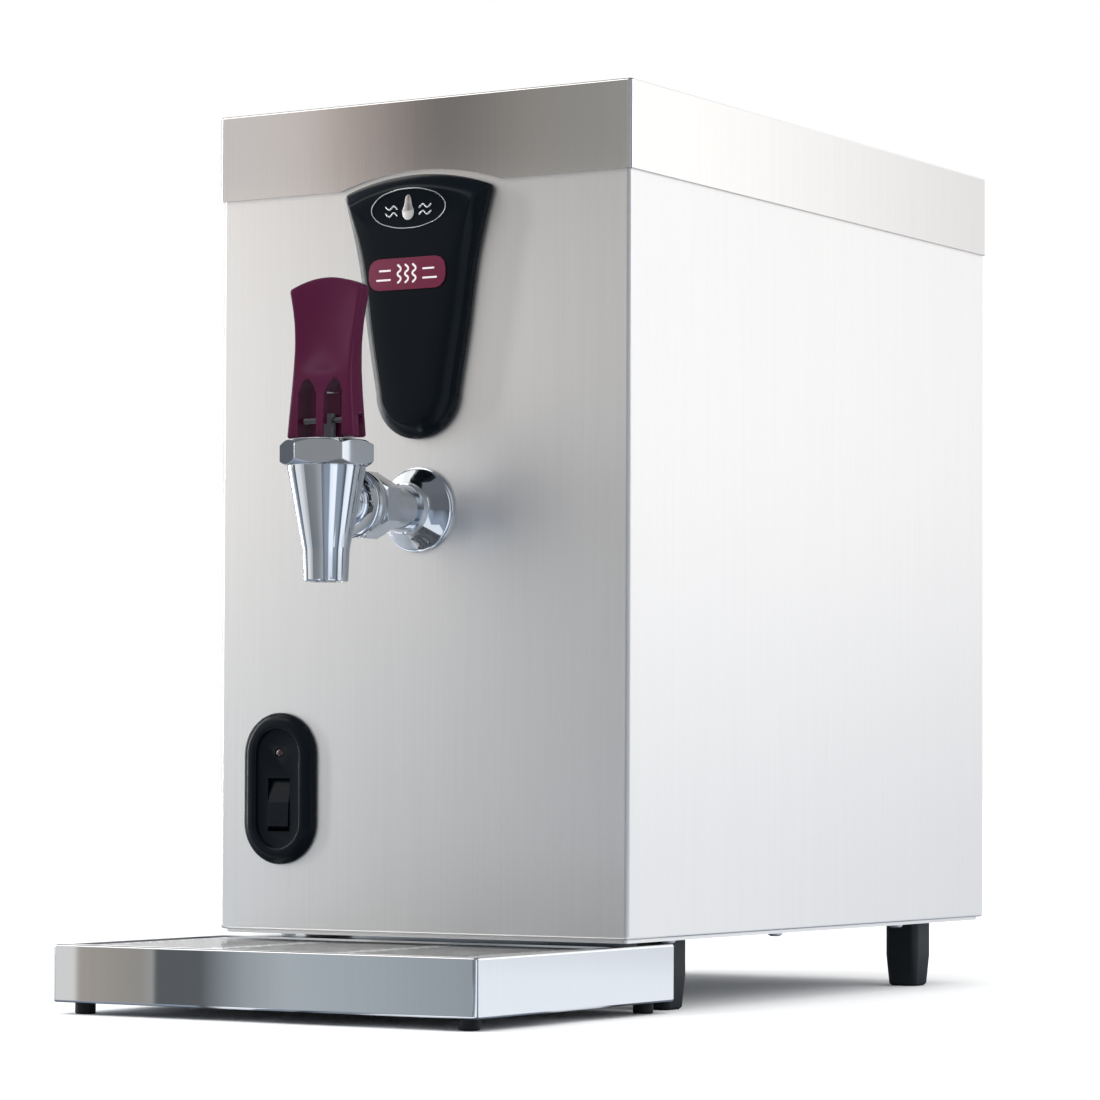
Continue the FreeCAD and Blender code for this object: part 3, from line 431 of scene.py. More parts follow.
finishes = {
    "casing": steelFinish("casingSteel", (0.80, 0.79, 0.78), (0.72, 0.71, 0.70), 0.33, 0.42),
    "lid": steelFinish("lidSteel", (0.76, 0.745, 0.73), (0.69, 0.68, 0.665), 0.13, 0.19, 1.2, 0.06),
    "tray": steelFinish("traySteel", (0.79, 0.80, 0.81), (0.74, 0.75, 0.76), 0.05, 0.09, 1.4, 0.03),
    "fixing": steelFinish("fixingSteel", (0.62, 0.62, 0.63), (0.50, 0.50, 0.52), 0.28, 0.42, 2.0, 0.2),
    "tank": steelFinish("tankSteel", (0.62, 0.62, 0.62), (0.52, 0.52, 0.53), 0.35, 0.5, 0.8, 0.2),
    "spring": steelFinish("springSteel", (0.66, 0.66, 0.68), (0.58, 0.58, 0.6), 0.2, 0.32, 2.0, 0.1),
    "chrome": platedFinish("tapChrome", (0.70, 0.735, 0.78), (0.64, 0.675, 0.72), 0.03),
    "trim": platedFinish("brightTrim", (0.86, 0.87, 0.88), (0.8, 0.8, 0.82), 0.10),
    # painted shade: near-black steel for the stem and the pin, standing in for the shade inside the lever's slots
    "stem": platedFinish("slotShadeStem", (0.10, 0.10, 0.11), (0.07, 0.07, 0.08), 0.32, 0.1),
    "brass": platedFinish("plainBrass", (0.72, 0.56, 0.28), (0.6, 0.45, 0.2), 0.28, 0.15),
    "blackGloss": mouldedFinish("glossBlack", (0.002, 0.0036, 0.0055), (0.003, 0.005, 0.0075), 0.17,
                                skinDepth=0.03, skinScale=500, wearAndHighlight=0.5, shine=0.1),
    "blackMatte": mouldedFinish("mattBlack", (0.006, 0.007, 0.009), (0.008, 0.010, 0.012), 0.38,
                                skinDepth=0.2, skinScale=1600, wearAndHighlight=0.2, shine=0.18),
    "rubber": mouldedFinish("footRubber", (0.007, 0.009, 0.012), (0.010, 0.013, 0.016), 0.42,
                            skinDepth=0.3, skinScale=1300, wearAndHighlight=0.3, shine=0.2),
    "maroon": mouldedFinish("leverMaroon", (0.052, 0.0032, 0.024), (0.045, 0.0028, 0.020), 0.2,
                            skinDepth=0.04, skinScale=600, wearAndHighlight=0.35, shine=0.17),
    "label": mouldedFinish("labelMaroon", (0.120, 0.016, 0.040), (0.108, 0.013, 0.035), 0.34,
                           skinDepth=0.05, shine=0.15),
    "print": mouldedFinish("paleInk", (0.72, 0.66, 0.68), (0.66, 0.60, 0.62), 0.5, 0.0, 0.05, 900),
    "lens": mouldedFinish("smokedLens", (0.03, 0.012, 0.014), (0.02, 0.01, 0.012), 0.08, 0.8, 0.02, 300),
    "silicone": mouldedFinish("siliconeRubber", (0.62, 0.60, 0.55), (0.54, 0.52, 0.47), 0.4, 0.1, 0.15, 700),
    "foam": mouldedFinish("jacketFoam", (0.07, 0.075, 0.082), (0.045, 0.048, 0.055), 0.9, 0.0, 0.8, 420),
    "natural": mouldedFinish("naturalPlastic", (0.55, 0.54, 0.51), (0.48, 0.47, 0.44), 0.4, 0.0, 0.15, 900),
    "board": mouldedFinish("boardGreen", (0.012, 0.085, 0.04), (0.02, 0.11, 0.05), 0.35, 0.3, 0.2, 1200),
}

slotFinish = {
    "brushed_panel": "casing", "lid_steel": "lid", "tray_steel": "tray", "zinc_screw": "fixing",
    "black_rubber": "rubber", "black_gloss": "blackGloss", "black_matte": "blackMatte", "silver_trim": "trim",
    "maroon_label": "label", "maroon_handle": "maroon", "chrome_tap": "chrome", "brass_part": "brass",
    "spring_steel": "spring", "silicone": "silicone", "tank_steel": "tank", "insulation_foam": "foam",
    "lens_red": "lens", "outlet_plastic": "natural", "board_green": "board",
}
for part in frame["record"]["subparts"]:
    mesh = nodes[part["node"]].data
    mesh.materials.clear()
    mesh.materials.append(finishes[slotFinish[part["material_slot"]]])
nodes["tap_stem"].data.materials[0] = finishes["stem"]  # painted near-black as the shade in the lever's slots, the only place it is seen
print("materials assigned")


# Badge cover on the front.

badge = {
    "frontY": -133.0, "halfTop": 41.0, "cornerZ": 385.8, "apexZ": 393.0, "tipZ": 290.4, "tipRadius": 22.4,
    "waist": [(32.6, 353.0), (27.3, 318.0)], "cornerRadius": 2.6,
    "rings": [(0, 0), (0, 3.0), (0.15, 3.7), (0.7, 4.6), (2.2, 6.2), (4.4, 8.1), (6.0, 9.3), (6.6, 9.62), (7.4, 9.82),
              (10.0, 10.1), (14.0, 10.34), (17.5, 10.42)],
}


def throughPoints(points, count):
    # A smooth run through a few points.
    found = []
    for k in range(len(points) - 1):
        a, b = Vector(points[max(k - 1, 0)]), Vector(points[k])
        c, d = Vector(points[k + 1]), Vector(points[min(k + 2, len(points) - 1)])
        for step in range(count):
            t = step / count
            bend = (2 * a - 5 * b + 4 * c - d) * t * t + (3 * (b - c) + d - a) * t ** 3
            found.append(b + 0.5 * ((c - a) * t + bend))
    return found


def badgeOutline(inset):
    # The shield drawn in by the inset: right side, half-round tip, left side and arched top.
    w = badge["halfTop"] - inset
    top, apex = badge["cornerZ"] - inset, badge["apexZ"] - inset
    r = badge["tipRadius"] - inset
    side = throughPoints([(w, top)] + [(x - inset, z) for x, z in badge["waist"]] + [(r, badge["tipZ"])], 10)
    rise = apex - top
    arch = (w * w + rise * rise) / (2 * rise)
    span = math.asin(w / arch)
    crown = [Vector((arch * sin(span * k / 10), apex - arch + arch * cos(span * k / 10))) for k in range(10)]
    corner = Vector((w, top))
    cutBack = max(0.5, badge["cornerRadius"] - 0.25 * inset)
    before = [p for p in crown if (p - corner).length > cutBack * 1.3]
    after = [p for p in side if (p - corner).length > cutBack * 1.3]
    a = corner + (before[-1] - corner).normalized() * cutBack
    b = corner + (after[0] - corner).normalized() * cutBack
    bend = [a.lerp(corner, t).lerp(corner.lerp(b, t), t) for t in (0, 0.2, 0.4, 0.6, 0.8, 1.0)]
    keepBefore, keepAfter = crown[:9], side[2:]
    right = keepBefore + bend + keepAfter
    tip = [Vector((r * cos(pi * k / 24), badge["tipZ"] - r * sin(pi * k / 24))) for k in range(13)]
    right += tip
    left = [Vector((-p.x, p.y)) for p in reversed(right[1:-1])]
    return right + left


def makeBadge():
    plate = stackRings("badgeCover", badgeOutline, badge["frontY"], badge["rings"], 28)
    return hand(plate, "housing", finishes["blackGloss"], "black_gloss", "badge_cover")


def plateFromCurve(name, points, level, thickness, bevel, smooth=True, cyclic=True, width=0.0):
    # A flat printed or stamped shape: an outline that is filled, or a stroke of the given width.
    curve = bpy.data.curves.new(name, "CURVE")
    curve.dimensions = "2D" if not width else "3D"
    curve.resolution_u = 8
    line = curve.splines.new("BEZIER")
    line.bezier_points.add(len(points) - 1)
    line.use_cyclic_u = cyclic
    for k, (x, z) in enumerate(points):
        point = line.bezier_points[k]
        point.co = (x * mm, z * mm, 0)
        point.handle_left_type = point.handle_right_type = "AUTO" if smooth else "VECTOR"
    if width:
        curve.bevel_depth = width * mm / 2
        curve.bevel_resolution = 3
        curve.use_fill_caps = True
    else:
        curve.fill_mode = "BOTH"
        curve.extrude = thickness * mm / 2
        curve.bevel_depth = bevel * mm
        curve.bevel_resolution = 2
        curve.offset = -bevel * mm
    holder = newObject(name, curve)
    bpy.context.view_layer.update()
    mesh = bpy.data.meshes.new_from_object(holder.evaluated_get(bpy.context.evaluated_depsgraph_get()))
    bpy.data.objects.remove(holder)
    bpy.data.curves.remove(curve)
    if width:
        mesh.transform(Matrix.Diagonal((1, 1, thickness / width, 1)))
    mesh.transform(Matrix.Rotation(radians(90), 4, "X"))
    mesh.transform(Matrix.Translation((0, level * mm, 0)))
    bm = bmesh.new()
    bm.from_mesh(mesh)
    bmesh.ops.remove_doubles(bm, verts=bm.verts[:], dist=1e-6)
    bpy.data.meshes.remove(mesh)
    return newObject(name, meshFrom(bm, name, 40))


def ovalPoints(x, z, halfLength, halfHeight, count=12):
    return [(x + halfLength * cos(2 * pi * k / count), z + halfHeight * sin(2 * pi * k / count))
            for k in range(count)]


emblem = {"x": 0.2, "z": 376.2, "halfLength": 20.8, "halfHeight": 9.3, "line": 0.6, "level": -143.72}
label = {"x": -0.3, "z": 345.4, "width": 43.0, "height": 15.0, "corner": 5.6, "level": -143.8, "thickness": 0.45}


def makeEmblem():
    x, z = emblem["x"], emblem["z"]
    ring = plateFromCurve("emblemRing", ovalPoints(x, z, emblem["halfLength"], emblem["halfHeight"]),
                          emblem["level"], 0.7, 0, True, True, emblem["line"])
    drop = plateFromCurve("emblemDrop", [(x, z + 6.2), (x + 2.3, z + 1.2), (x + 3.3, z - 2.0), (x + 1.9, z - 4.9),
                                         (x, z - 5.6), (x - 1.9, z - 4.9), (x - 3.3, z - 2.0), (x - 2.3, z + 1.2)],
                          emblem["level"], 0.5, 0.12)
    waves = []
    for side in (-1, 1):
        for row in (-2.6, 0.6):
            path = [(x + side * (6.0 + 2.3 * k), z + row + (0.8 if k % 2 else -0.8)) for k in range(4)]
            waves.append(plateFromCurve("emblemWave", path, emblem["level"], 0.5, 0, True, False, 0.8))
    return hand(joined("emblem", [ring, drop] + waves), "housing", finishes["trim"], "silver_trim", "badge_emblem")


def makeLabel():
    x, z, w, h, r = label["x"], label["z"], label["width"] / 2, label["height"] / 2, label["corner"]
    points = []
    for cx, cz, first in ((w - r, h - r, 0), (-w + r, h - r, 90), (-w + r, -h + r, 180), (w - r, -h + r, 270)):
        for k in range(4):
            a = radians(first + 30 * k)
            points.append((x + cx + r * cos(a), z + cz + r * sin(a)))
    plate = plateFromCurve("badgeLabel", points, label["level"], label["thickness"], 0.15, False)
    hand(plate, "housing", finishes["label"], "maroon_label", "badge_label")
    strokes = []
    for k in (-1, 0, 1):
        path = [(x + k * 4.2 + (0.9 if step % 2 else -0.9), z - 4.4 + step * 2.2) for step in range(5)]
        strokes.append(plateFromCurve("steamStroke", path, label["level"] - 0.42, 0.25, 0, True, False, 1.0))
    for side in (-1, 1):
        path = [(x + side * 9.0, z - 2.6), (x + side * 17.0, z - 2.6)]
        strokes.append(plateFromCurve("dash", path, label["level"] - 0.42, 0.25, 0, False, False, 0.9))
        path = [(x + side * 9.0, z + 1.8), (x + side * 15.5, z + 1.8)]
        strokes.append(plateFromCurve("dash", path, label["level"] - 0.42, 0.25, 0, False, False, 0.9))
    return hand(joined("labelSteam", strokes), "housing", finishes["print"], "maroon_label")


makeBadge()
makeEmblem()
makeLabel()
print("badge done")


# Switch panel.

switch = {
    "x": -78.7, "z": 103.0, "frontY": -133.0, "width": 40.8, "height": 72.8,
    "rings": [(0, 0), (0, 1.6), (0.3, 2.3), (0.9, 2.9), (2.4, 3.7), (4.2, 4.25), (5.8, 4.45), (6.9, 4.35), (7.6, 4.0),
              (7.95, 3.5), (8.1, 2.9), (8.2, 2.15), (8.6, 2.0)],
    "rockerZ": 95.2, "rockerHalf": 6.4, "windowHalf": 12.75, "lensZ": 120.1, "rockerEdge": 0.8,
}


def makeSwitch():
    x, z, y = switch["x"], switch["z"], switch["frontY"]
    rim = stackRings("switchBezel", lambda inset: stadiumPoints(x, z, switch["width"] - 2 * inset,
                                                                switch["height"] - 2 * inset), y, switch["rings"], 40)
    carve(rim, block("window", (x - switch["rockerHalf"], y - 10, switch["rockerZ"] - switch["windowHalf"]),
                     (x + switch["rockerHalf"], y + 5, switch["rockerZ"] + switch["windowHalf"])))
    carve(rim, turned("lensHole", [(0, -8), (2.3, -8), (2.3, 8), (0, 8)], (x, y, switch["lensZ"]), "Y"))
    sharpen(rim, 40)
    hand(rim, "housing", finishes["blackGloss"], "black_gloss", "switch_bezel")
    dome = turned("indicatorLens", [(0, 2.9), (1.1, 2.6), (1.9, 1.8), (2.1, 0.9), (2.1, -4.0), (0, -4.0)],
                  (x, y, switch["lensZ"]), "Y")
    dome.data.transform(Matrix.Translation((0, 2 * y * mm, 0)) @ Matrix.Diagonal((1, -1, 1, 1)))
    dome.data.flip_normals()
    return hand(dome, "housing", finishes["lens"], "lens_red", "indicator_lens")


def makeRocker():
    # The CAD rocker with its edges rounded over.
    bm = bmesh.new()
    bm.from_mesh(nodes["rocker_switch"].data)
    bmesh.ops.remove_doubles(bm, verts=bm.verts[:], dist=1e-6)
    bmesh.ops.dissolve_limit(bm, angle_limit=radians(1), verts=bm.verts[:], edges=bm.edges[:])
    rocker = newObject("powerRocker", meshFrom(bm, "powerRocker"))
    soften(rocker, switch["rockerEdge"] * mm, 4, 24)
    settle(rocker)
    return hand(rocker, "power_rocker", finishes["blackGloss"], "black_matte", "rocker_switch")


makeSwitch()
makeRocker()
print("switch done")


# Tap.

tap = {
    "y": -209.5, "shankZ": 234.6, "flutes": 8, "flatAngle": 27.0, "firstLand": 36.0,
    "levels": [(197.7, 9.6), (197.95, 10.0), (198.5, 10.2), (211.6, 10.72), (213.2, 10.95), (248.6, 17.85),
               (250.3, 18.0)],
    "boreDepth": 12.0, "lipWidth": 2.2, "fluteDepth": 0.035, "springTop": 258.55, "springLength": 23.7, "lift": 2.8,
    "neck": [(0, 0), (10.8, 0), (10.8, 15.2), (10.2, 15.8), (10.2, 16.4), (10.8, 17.0), (10.8, 21.5), (13.0, 21.5),
             (13.0, 24.0), (0, 24.0)],
    "bonnetFlats": 38.1, "bonnetFoot": 250.3, "bonnetTop": 262.1, "bonnetEdge": 0.9,
    "boss": [(4.1, 0), (14.6, 0), (15.0, 0.15), (14.4, 0.5), (4.1, 0.5)],
    "couplingFlats": 26.8, "couplingY": -180.0, "couplingLength": 13.0, "couplingEdge": 0.4,
    "collar": [(10.85, -191.0), (14.6, -191.0), (15.5, -190.5), (16.0, -189.8), (16.0, -189.2), (15.5, -188.8),
               (15.5, -188.4), (16.1, -187.9), (16.2, -187.0), (15.9, -185.0), (15.0, -182.0), (14.3, -180.2),
               (13.0, -179.9), (10.85, -179.9)],
    "shank": [(5.0, -185.5), (11.4, -185.5), (11.4, -168.2), (10.0, -168.0), (10.0, -160.5), (10.0, -114.2),
              (9.8, -114.0), (8.0, -114.0), (8.0, -98.3), (7.7, -98.0), (5.0, -98.0)],
    "rose": [(10.05, -147.5), (11.3, -147.5), (11.9, -147.1), (12.1, -146.4), (12.1, -143.9), (12.4, -143.3),
             (14.2, -141.2), (16.6, -138.2), (18.6, -135.6), (19.3, -134.9), (19.9, -134.6), (20.2, -134.1),
             (20.2, -133.4), (20.0, -133.0), (16.5, -133.0), (10.5, -142.5), (10.05, -142.5)],
}


def makeTapBody():
    # Each ring has a shallow hollow for every flute and a rounded land between two flutes.
    bm = bmesh.new()
    flat = tap["flatAngle"]
    pitch = 360.0 / tap["flutes"]
    low, radius = tap["levels"][0]
    ring = []
    for k in range(tap["flutes"]):
        middle = -90 + tap["firstLand"] + pitch * k
        half = (pitch - flat) / 2
        for step in (-1.0, -0.5, 0.0, 0.5, 1.0):
            a = radians(middle + half * step)
            ring.append(bm.verts.new((radius * cos(a) * mm, radius * sin(a) * mm, low * mm)))
        for step in (-0.8, -0.55, -0.28, 0.0, 0.28, 0.55, 0.8):
            a = radians(middle + pitch / 2 + flat / 2 * step)
            hollow = radius * cos(radians(flat / 2)) / cos(radians(flat / 2 * step))
            hollow -= radius * tap["fluteDepth"] * (1 - step * step)
            ring.append(bm.verts.new((hollow * cos(a) * mm, hollow * sin(a) * mm, low * mm)))
    edges = [bm.edges.new((a, b)) for a, b in zip(ring, ring[1:] + ring[:1])]
    bottom = edges[:]
    for z, r in tap["levels"][1:]:
        up = bmesh.ops.extrude_edge_only(bm, edges=edges)
        verts = vertsOf(up)
        edges = [g for g in up["geom"] if isinstance(g, bmesh.types.BMEdge)]
        bmesh.ops.translate(bm, verts=verts, vec=(0, 0, (z - low) * mm))
        bmesh.ops.scale(bm, verts=verts, vec=(r / radius, r / radius, 1))
        low, radius = z, r
    bmesh.ops.contextual_create(bm, geom=edges)
    mouth = bmesh.ops.contextual_create(bm, geom=bottom)["faces"][0]
    bm.normal_update()
    bmesh.ops.inset_region(bm, faces=[mouth], thickness=tap["lipWidth"] * mm, use_even_offset=True, use_boundary=True)
    inner = bmesh.ops.extrude_face_region(bm, geom=[mouth])
    bmesh.ops.translate(bm, verts=vertsOf(inner), vec=(0, 0, tap["boreDepth"] * mm))
    if mouth.is_valid:
        bmesh.ops.delete(bm, geom=[mouth], context="FACES_ONLY")
    bmesh.ops.translate(bm, verts=bm.verts[:], vec=(0, tap["y"] * mm, 0))
    core = newObject("tapCore", meshFrom(bm, "tapCore", 9))
    neck = turned("tapNeck", tap["neck"], (0, tap["y"], tap["shankZ"]), "Y")
    return hand(joined("tapBody", [core, neck]), "housing", finishes["chrome"], "chrome_tap", "tap_body")


def makeTapNuts():
    height = tap["bonnetTop"] - tap["bonnetFoot"]
    bonnet = place(hexNut("bonnetHex", tap["bonnetFlats"], height, -7.0, 0.62), (0, tap["y"], tap["bonnetFoot"]))
    settle(soften(bonnet, tap["bonnetEdge"] * mm, 4, 14))
    boss = turned("bonnetBoss", tap["boss"], (0, tap["y"], tap["bonnetTop"]), "Z", 96, 32, True)
    hand(joined("bonnetNut", [bonnet, boss]), "housing", finishes["chrome"], "chrome_tap", "tap_bonnet_nut")
    body = turned("couplingCollar", tap["collar"], (0, 0, tap["shankZ"]), "Y", 128, 32, True)
    hexagon = place(hexNut("couplingHex", tap["couplingFlats"], tap["couplingLength"], 0.0, 0.5),
                    (0, tap["couplingY"], tap["shankZ"]), "Y")
    settle(soften(hexagon, tap["couplingEdge"] * mm, 3, 14))
    return hand(joined("couplingNut", [body, hexagon]), "housing", finishes["chrome"], "chrome_tap",
                "tap_coupling_nut")


def makeShankAndRose():
    shank = turned("shankTube", tap["shank"], (0, 0, tap["shankZ"]), "Y", 96, 32, True)
    hand(shank, "housing", finishes["chrome"], "chrome_tap", "tap_shank")
    rose = turned("rose", tap["rose"], (0, 0, tap["shankZ"]), "Y", 128, 32, True)
    return hand(rose, "housing", finishes["chrome"], "chrome_tap", "tap_rose")


lever = {
    "y": -209.5, "baseZ": 263.2, "cornerZ": 331.7, "topRise": 5.0, "back": 5.5, "edge": 1.3,
    "profile": [(0.0, 18.5, -6.0), (0.12, 17.7, -5.9), (0.3, 16.6, -5.5), (0.46, 15.95, -4.8), (0.62, 16.0, -3.7),
                (0.76, 17.0, -2.6), (0.88, 18.5, -2.1), (1.0, 20.0, -2.3)],
    "dish": 2.3, "slotInner": 2.0, "slotOuter": 12.2, "slotSideZ": 283.5, "slotPeakZ": 290.5, "slotFloor": 2.8,
    "slotDeepFloor": 3.5, "slotStep": 5.2, "below": 3.0,
    "notch": {"inner": 15.0, "outer": 25.0, "front": -1.0, "back": 3.6, "top": 272.0, "middle": 1.3, "radius": 2.3},
    "room": {"half": 4.6, "front": -2.9, "back": 3.4, "top": 284.0},
    "swing": {"half": 4.6, "front": -5.1, "back": -2.0, "top": 269.5},
    "pinZ": 271.2, "pin": [(0, -15.0), (1.1, -15.0), (1.2, -14.9), (1.2, 14.9), (1.1, 15.0), (0, 15.0)],
}


def between(table, place, column):
    for low, high in zip(table, table[1:]):
        if place <= high[0] + 1e-9:
            part = (place - low[0]) / (high[0] - low[0])
            return low[column] + (high[column] - low[column]) * part
    return table[-1][column]


def peakedSlot(inner, outer, floor):
    # A slot cutter that is open at the foot and comes to a soft peak, cut in from the front.
    x0, x1 = sorted((inner, outer))
    middle = (x0 + x1) / 2
    foot, side, peak = lever["baseZ"] - lever["below"], lever["slotSideZ"], lever["slotPeakZ"]
    points = [(x0, foot), (x1, foot), (x1, side), ((x1 + middle) / 2, (side + peak) / 2 + 0.8), (middle, peak),
              ((x0 + middle) / 2, (side + peak) / 2 + 0.8), (x0, side)]
    bm = bmesh.new()
    face = bm.faces.new([bm.verts.new((x * mm, (lever["y"] - 9) * mm, z * mm)) for x, z in points])
    deep = bmesh.ops.extrude_face_region(bm, geom=[face], use_keep_orig=True)
    bmesh.ops.translate(bm, verts=vertsOf(deep), vec=(0, (floor - lever["y"] + 9) * mm, 0))
    return newObject("slot", meshFrom(bm, "slot"))


def makeLever():
    # The front starts as a grid, is dished for the thumb, and is then pulled back to its full depth.
    bm = bmesh.new()
    bmesh.ops.create_grid(bm, x_segments=14, y_segments=22, size=1.0)
    for v in bm.verts:
        across, up = v.co.x, (v.co.y + 1) / 2
        width = between(lever["profile"], up, 1)
        front = between(lever["profile"], up, 2)
        hollow = lever["dish"] * (1 - across ** 2) * max(0.0, sin(pi * min(1.0, max(0.0, (up - 0.42) / 0.62)))) ** 0.7
        height = lever["baseZ"] + up * (lever["cornerZ"] - lever["baseZ"])
        height += lever["topRise"] * (1 - across ** 2) * max(0.0, (up - 0.55) / 0.45) ** 1.5
        v.co = Vector((across * width, lever["y"] + front + hollow, height)) * mm
    bm.normal_update()
    back = bmesh.ops.extrude_face_region(bm, geom=bm.faces[:], use_keep_orig=True)
    for v in vertsOf(back):
        v.co.y = (lever["y"] + lever["back"]) * mm
    bmesh.ops.recalc_face_normals(bm, faces=bm.faces[:])
    rim = [e for e in bm.edges if len(e.link_faces) == 2 and e.calc_face_angle(0) > radians(50)]
    bmesh.ops.bevel(bm, geom=rim, offset=lever["edge"] * mm, segments=4, profile=0.5, affect="EDGES", material=-1)
    handle = newObject("tapLever", meshFrom(bm, "tapLever", 40))
    y, foot, notch = lever["y"], lever["baseZ"] - lever["below"], lever["notch"]
    for side in (-1, 1):
        carve(handle, peakedSlot(side * lever["slotInner"], side * lever["slotOuter"], y + lever["slotFloor"]))
        carve(handle, peakedSlot(side * lever["slotStep"], side * lever["slotOuter"], y + lever["slotDeepFloor"]))
        n0, n1 = sorted((side * notch["inner"], side * notch["outer"]))
        groove = block("notch", (n0, y + notch["front"], foot), (n1, y + notch["back"], notch["top"]))
        head = turned("notchTop", [(0, 0), (notch["radius"], 0), (notch["radius"], 10), (0, 10)],
                      (n0, y + notch["middle"], notch["top"]), "X", 32)
        carve(groove, head, "UNION")
        carve(handle, groove)
    for name in ("room", "swing"):  # where the stem stands, and where it swings as the lever tips
        gap = lever[name]
        carve(handle, block(name, (-gap["half"], y + gap["front"], foot), (gap["half"], y + gap["back"], gap["top"])))
    sharpen(handle, 38)
    return hand(handle, "tap_lever", finishes["maroon"], "maroon_handle", "tap_handle")


def makeLeverPin():
    pin = turned("leverPin", lever["pin"], (0, lever["y"], lever["pinZ"]), "X", 32)
    # the pin takes the near-black stem finish: painted shade in the slots
    return hand(pin, "tap_lever", finishes["stem"], "spring_steel", "tap_handle_pin")


def makeTapSpring():
    # The return spring: the CAD coil with its doubled points merged, on the housing.
    bm = bmesh.new()
    bm.from_mesh(nodes["tap_spring"].data)
    bmesh.ops.remove_doubles(bm, verts=bm.verts[:], dist=1e-7)
    coil = newObject("tapSpring", meshFrom(bm, "tapSpring", 50))
    hand(coil, "housing", finishes["spring"], "spring_steel", "tap_spring")
    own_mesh(coil)
    return coil


makeTapBody().visible_glossy = False  # not mirrored by the panel behind it, nor is the lever
makeTapNuts()
makeShankAndRose()
makeLever().visible_glossy = False
makeLeverPin()
makeTapSpring()
print("tap done")


# Screws.

screws = {
    "shank": 2.0, "slot": 0.9, "slotDepth": 1.1,
    "panelX": 107.0, "panelY": 238.0, "panelZ": (60.0, 215.0, 370.0),
    "inletX": -60.0, "inletSpread": 19.0, "inletZ": 80.0, "lidX": 106.0, "lidY": 239.5, "lidZ": 402.0,
    "panX": 108.0, "panY": (-84.5, 20.0, 150.0), "panZ": 33.4,
}
sides = (-1, 1)


def makeScrews(name, places, direction, node, headRadius, headHeight, length):
    profile = [(0, headHeight), (headRadius * 0.55, headHeight * 0.94), (headRadius * 0.86, headHeight * 0.7),
               (headRadius, headHeight * 0.3), (headRadius, 0), (screws["shank"], 0), (screws["shank"], -length),
               (0, -length)]
    first = turned("screw", profile, (0, 0, 0), "Z", 32)
    arm = headRadius * 0.5
    top = headHeight + 1
    floor = headHeight - screws["slotDepth"]
    half = screws["slot"] / 2
    carve(first, block("cross", (-arm, -half, floor), (arm, half, top)))
    carve(first, block("cross", (-half, -arm, floor), (half, arm, top)))
    sharpen(first, 30)
    if direction == "Y":
        first.data.transform(Matrix.Rotation(radians(-90), 4, "X"))
    if direction == "-Z":
        first.data.transform(Matrix.Rotation(radians(180), 4, "X"))
    copies = []
    for k, place3 in enumerate(places):
        mesh = first.data.copy()
        mesh.transform(Matrix.Translation(Vector(place3) * mm))
        copies.append(newObject("screw", mesh))
    bpy.data.objects.remove(first)
    return hand(joined(name, copies), "housing", finishes["fixing"], "zinc_screw", node)


rearPlaces = [(side * screws["panelX"], screws["panelY"], z) for side in sides for z in screws["panelZ"]]
rearPlaces += [(screws["inletX"] + side * screws["inletSpread"], screws["panelY"], screws["inletZ"])
               for side in sides]
rearPlaces += [(side * screws["lidX"], screws["lidY"], screws["lidZ"]) for side in sides]
makeScrews("rearScrews", rearPlaces, "Y", "rear_screws", 3.8, 2.0, 6.0)
panPlaces = [(side * screws["panX"], y, screws["panZ"]) for side in sides for y in screws["panY"]]
makeScrews("panScrews", panPlaces, "-Z", "base_pan_screws", 3.6, 1.8, 5.0)
print("screws done")


# Studio.

studio = {
    "lens": 133.25, "shift": 0.0818, "place": (1.0584, -1.7316, 0.1142), "yaw": -31.658, "pitch": 1.775, "roll": 0.21,
    "floorColor": (0.92, 0.92, 0.92), "ceiling": (0.17, 0.18, 0.20),
    "worldStrength": 1.0,
}


def makeCamera():
    data = bpy.data.cameras.new("camera")
    data.lens = studio["lens"]
    data.sensor_width = 36
    data.shift_y = studio["shift"]
    data.clip_end = 50
    yaw, pitch, roll = radians(studio["yaw"]), radians(studio["pitch"]), radians(studio["roll"])
    ahead = Vector((sin(yaw) * cos(pitch), cos(yaw) * cos(pitch), sin(pitch)))
    right = Vector((cos(yaw), -sin(yaw), 0))
    up = right.cross(ahead)
    right, up = right * cos(roll) + up * sin(roll), up * cos(roll) - right * sin(roll)
    camera = newObject("camera", data)
    turn = Matrix((right, up, -ahead)).transposed().to_4x4()
    camera.matrix_world = Matrix.Translation(studio["place"]) @ turn
    scene.camera = camera


def byBearing(tree, vector, stops):
    # A tone for each compass bearing from the front, in degrees towards the right.
    split = tree.nodes.new("ShaderNodeSeparateXYZ")
    tree.links.new(vector, split.inputs["Vector"])
    bearing = addMath(tree, "ARCTAN2", split.outputs["X"], addMath(tree, "MULTIPLY", split.outputs["Y"], -1.0))
    turn = tree.nodes.new("ShaderNodeMapRange")
    turn.inputs["From Min"].default_value = -pi
    turn.inputs["From Max"].default_value = pi
    tree.links.new(bearing, turn.inputs["Value"])
    ramp = tree.nodes.new("ShaderNodeValToRGB")
    fillRamp(ramp, [((degrees + 180) / 360, tone) for degrees, tone in stops])
    tree.links.new(turn.outputs["Result"], ramp.inputs["Fac"])
    return ramp.outputs["Color"]


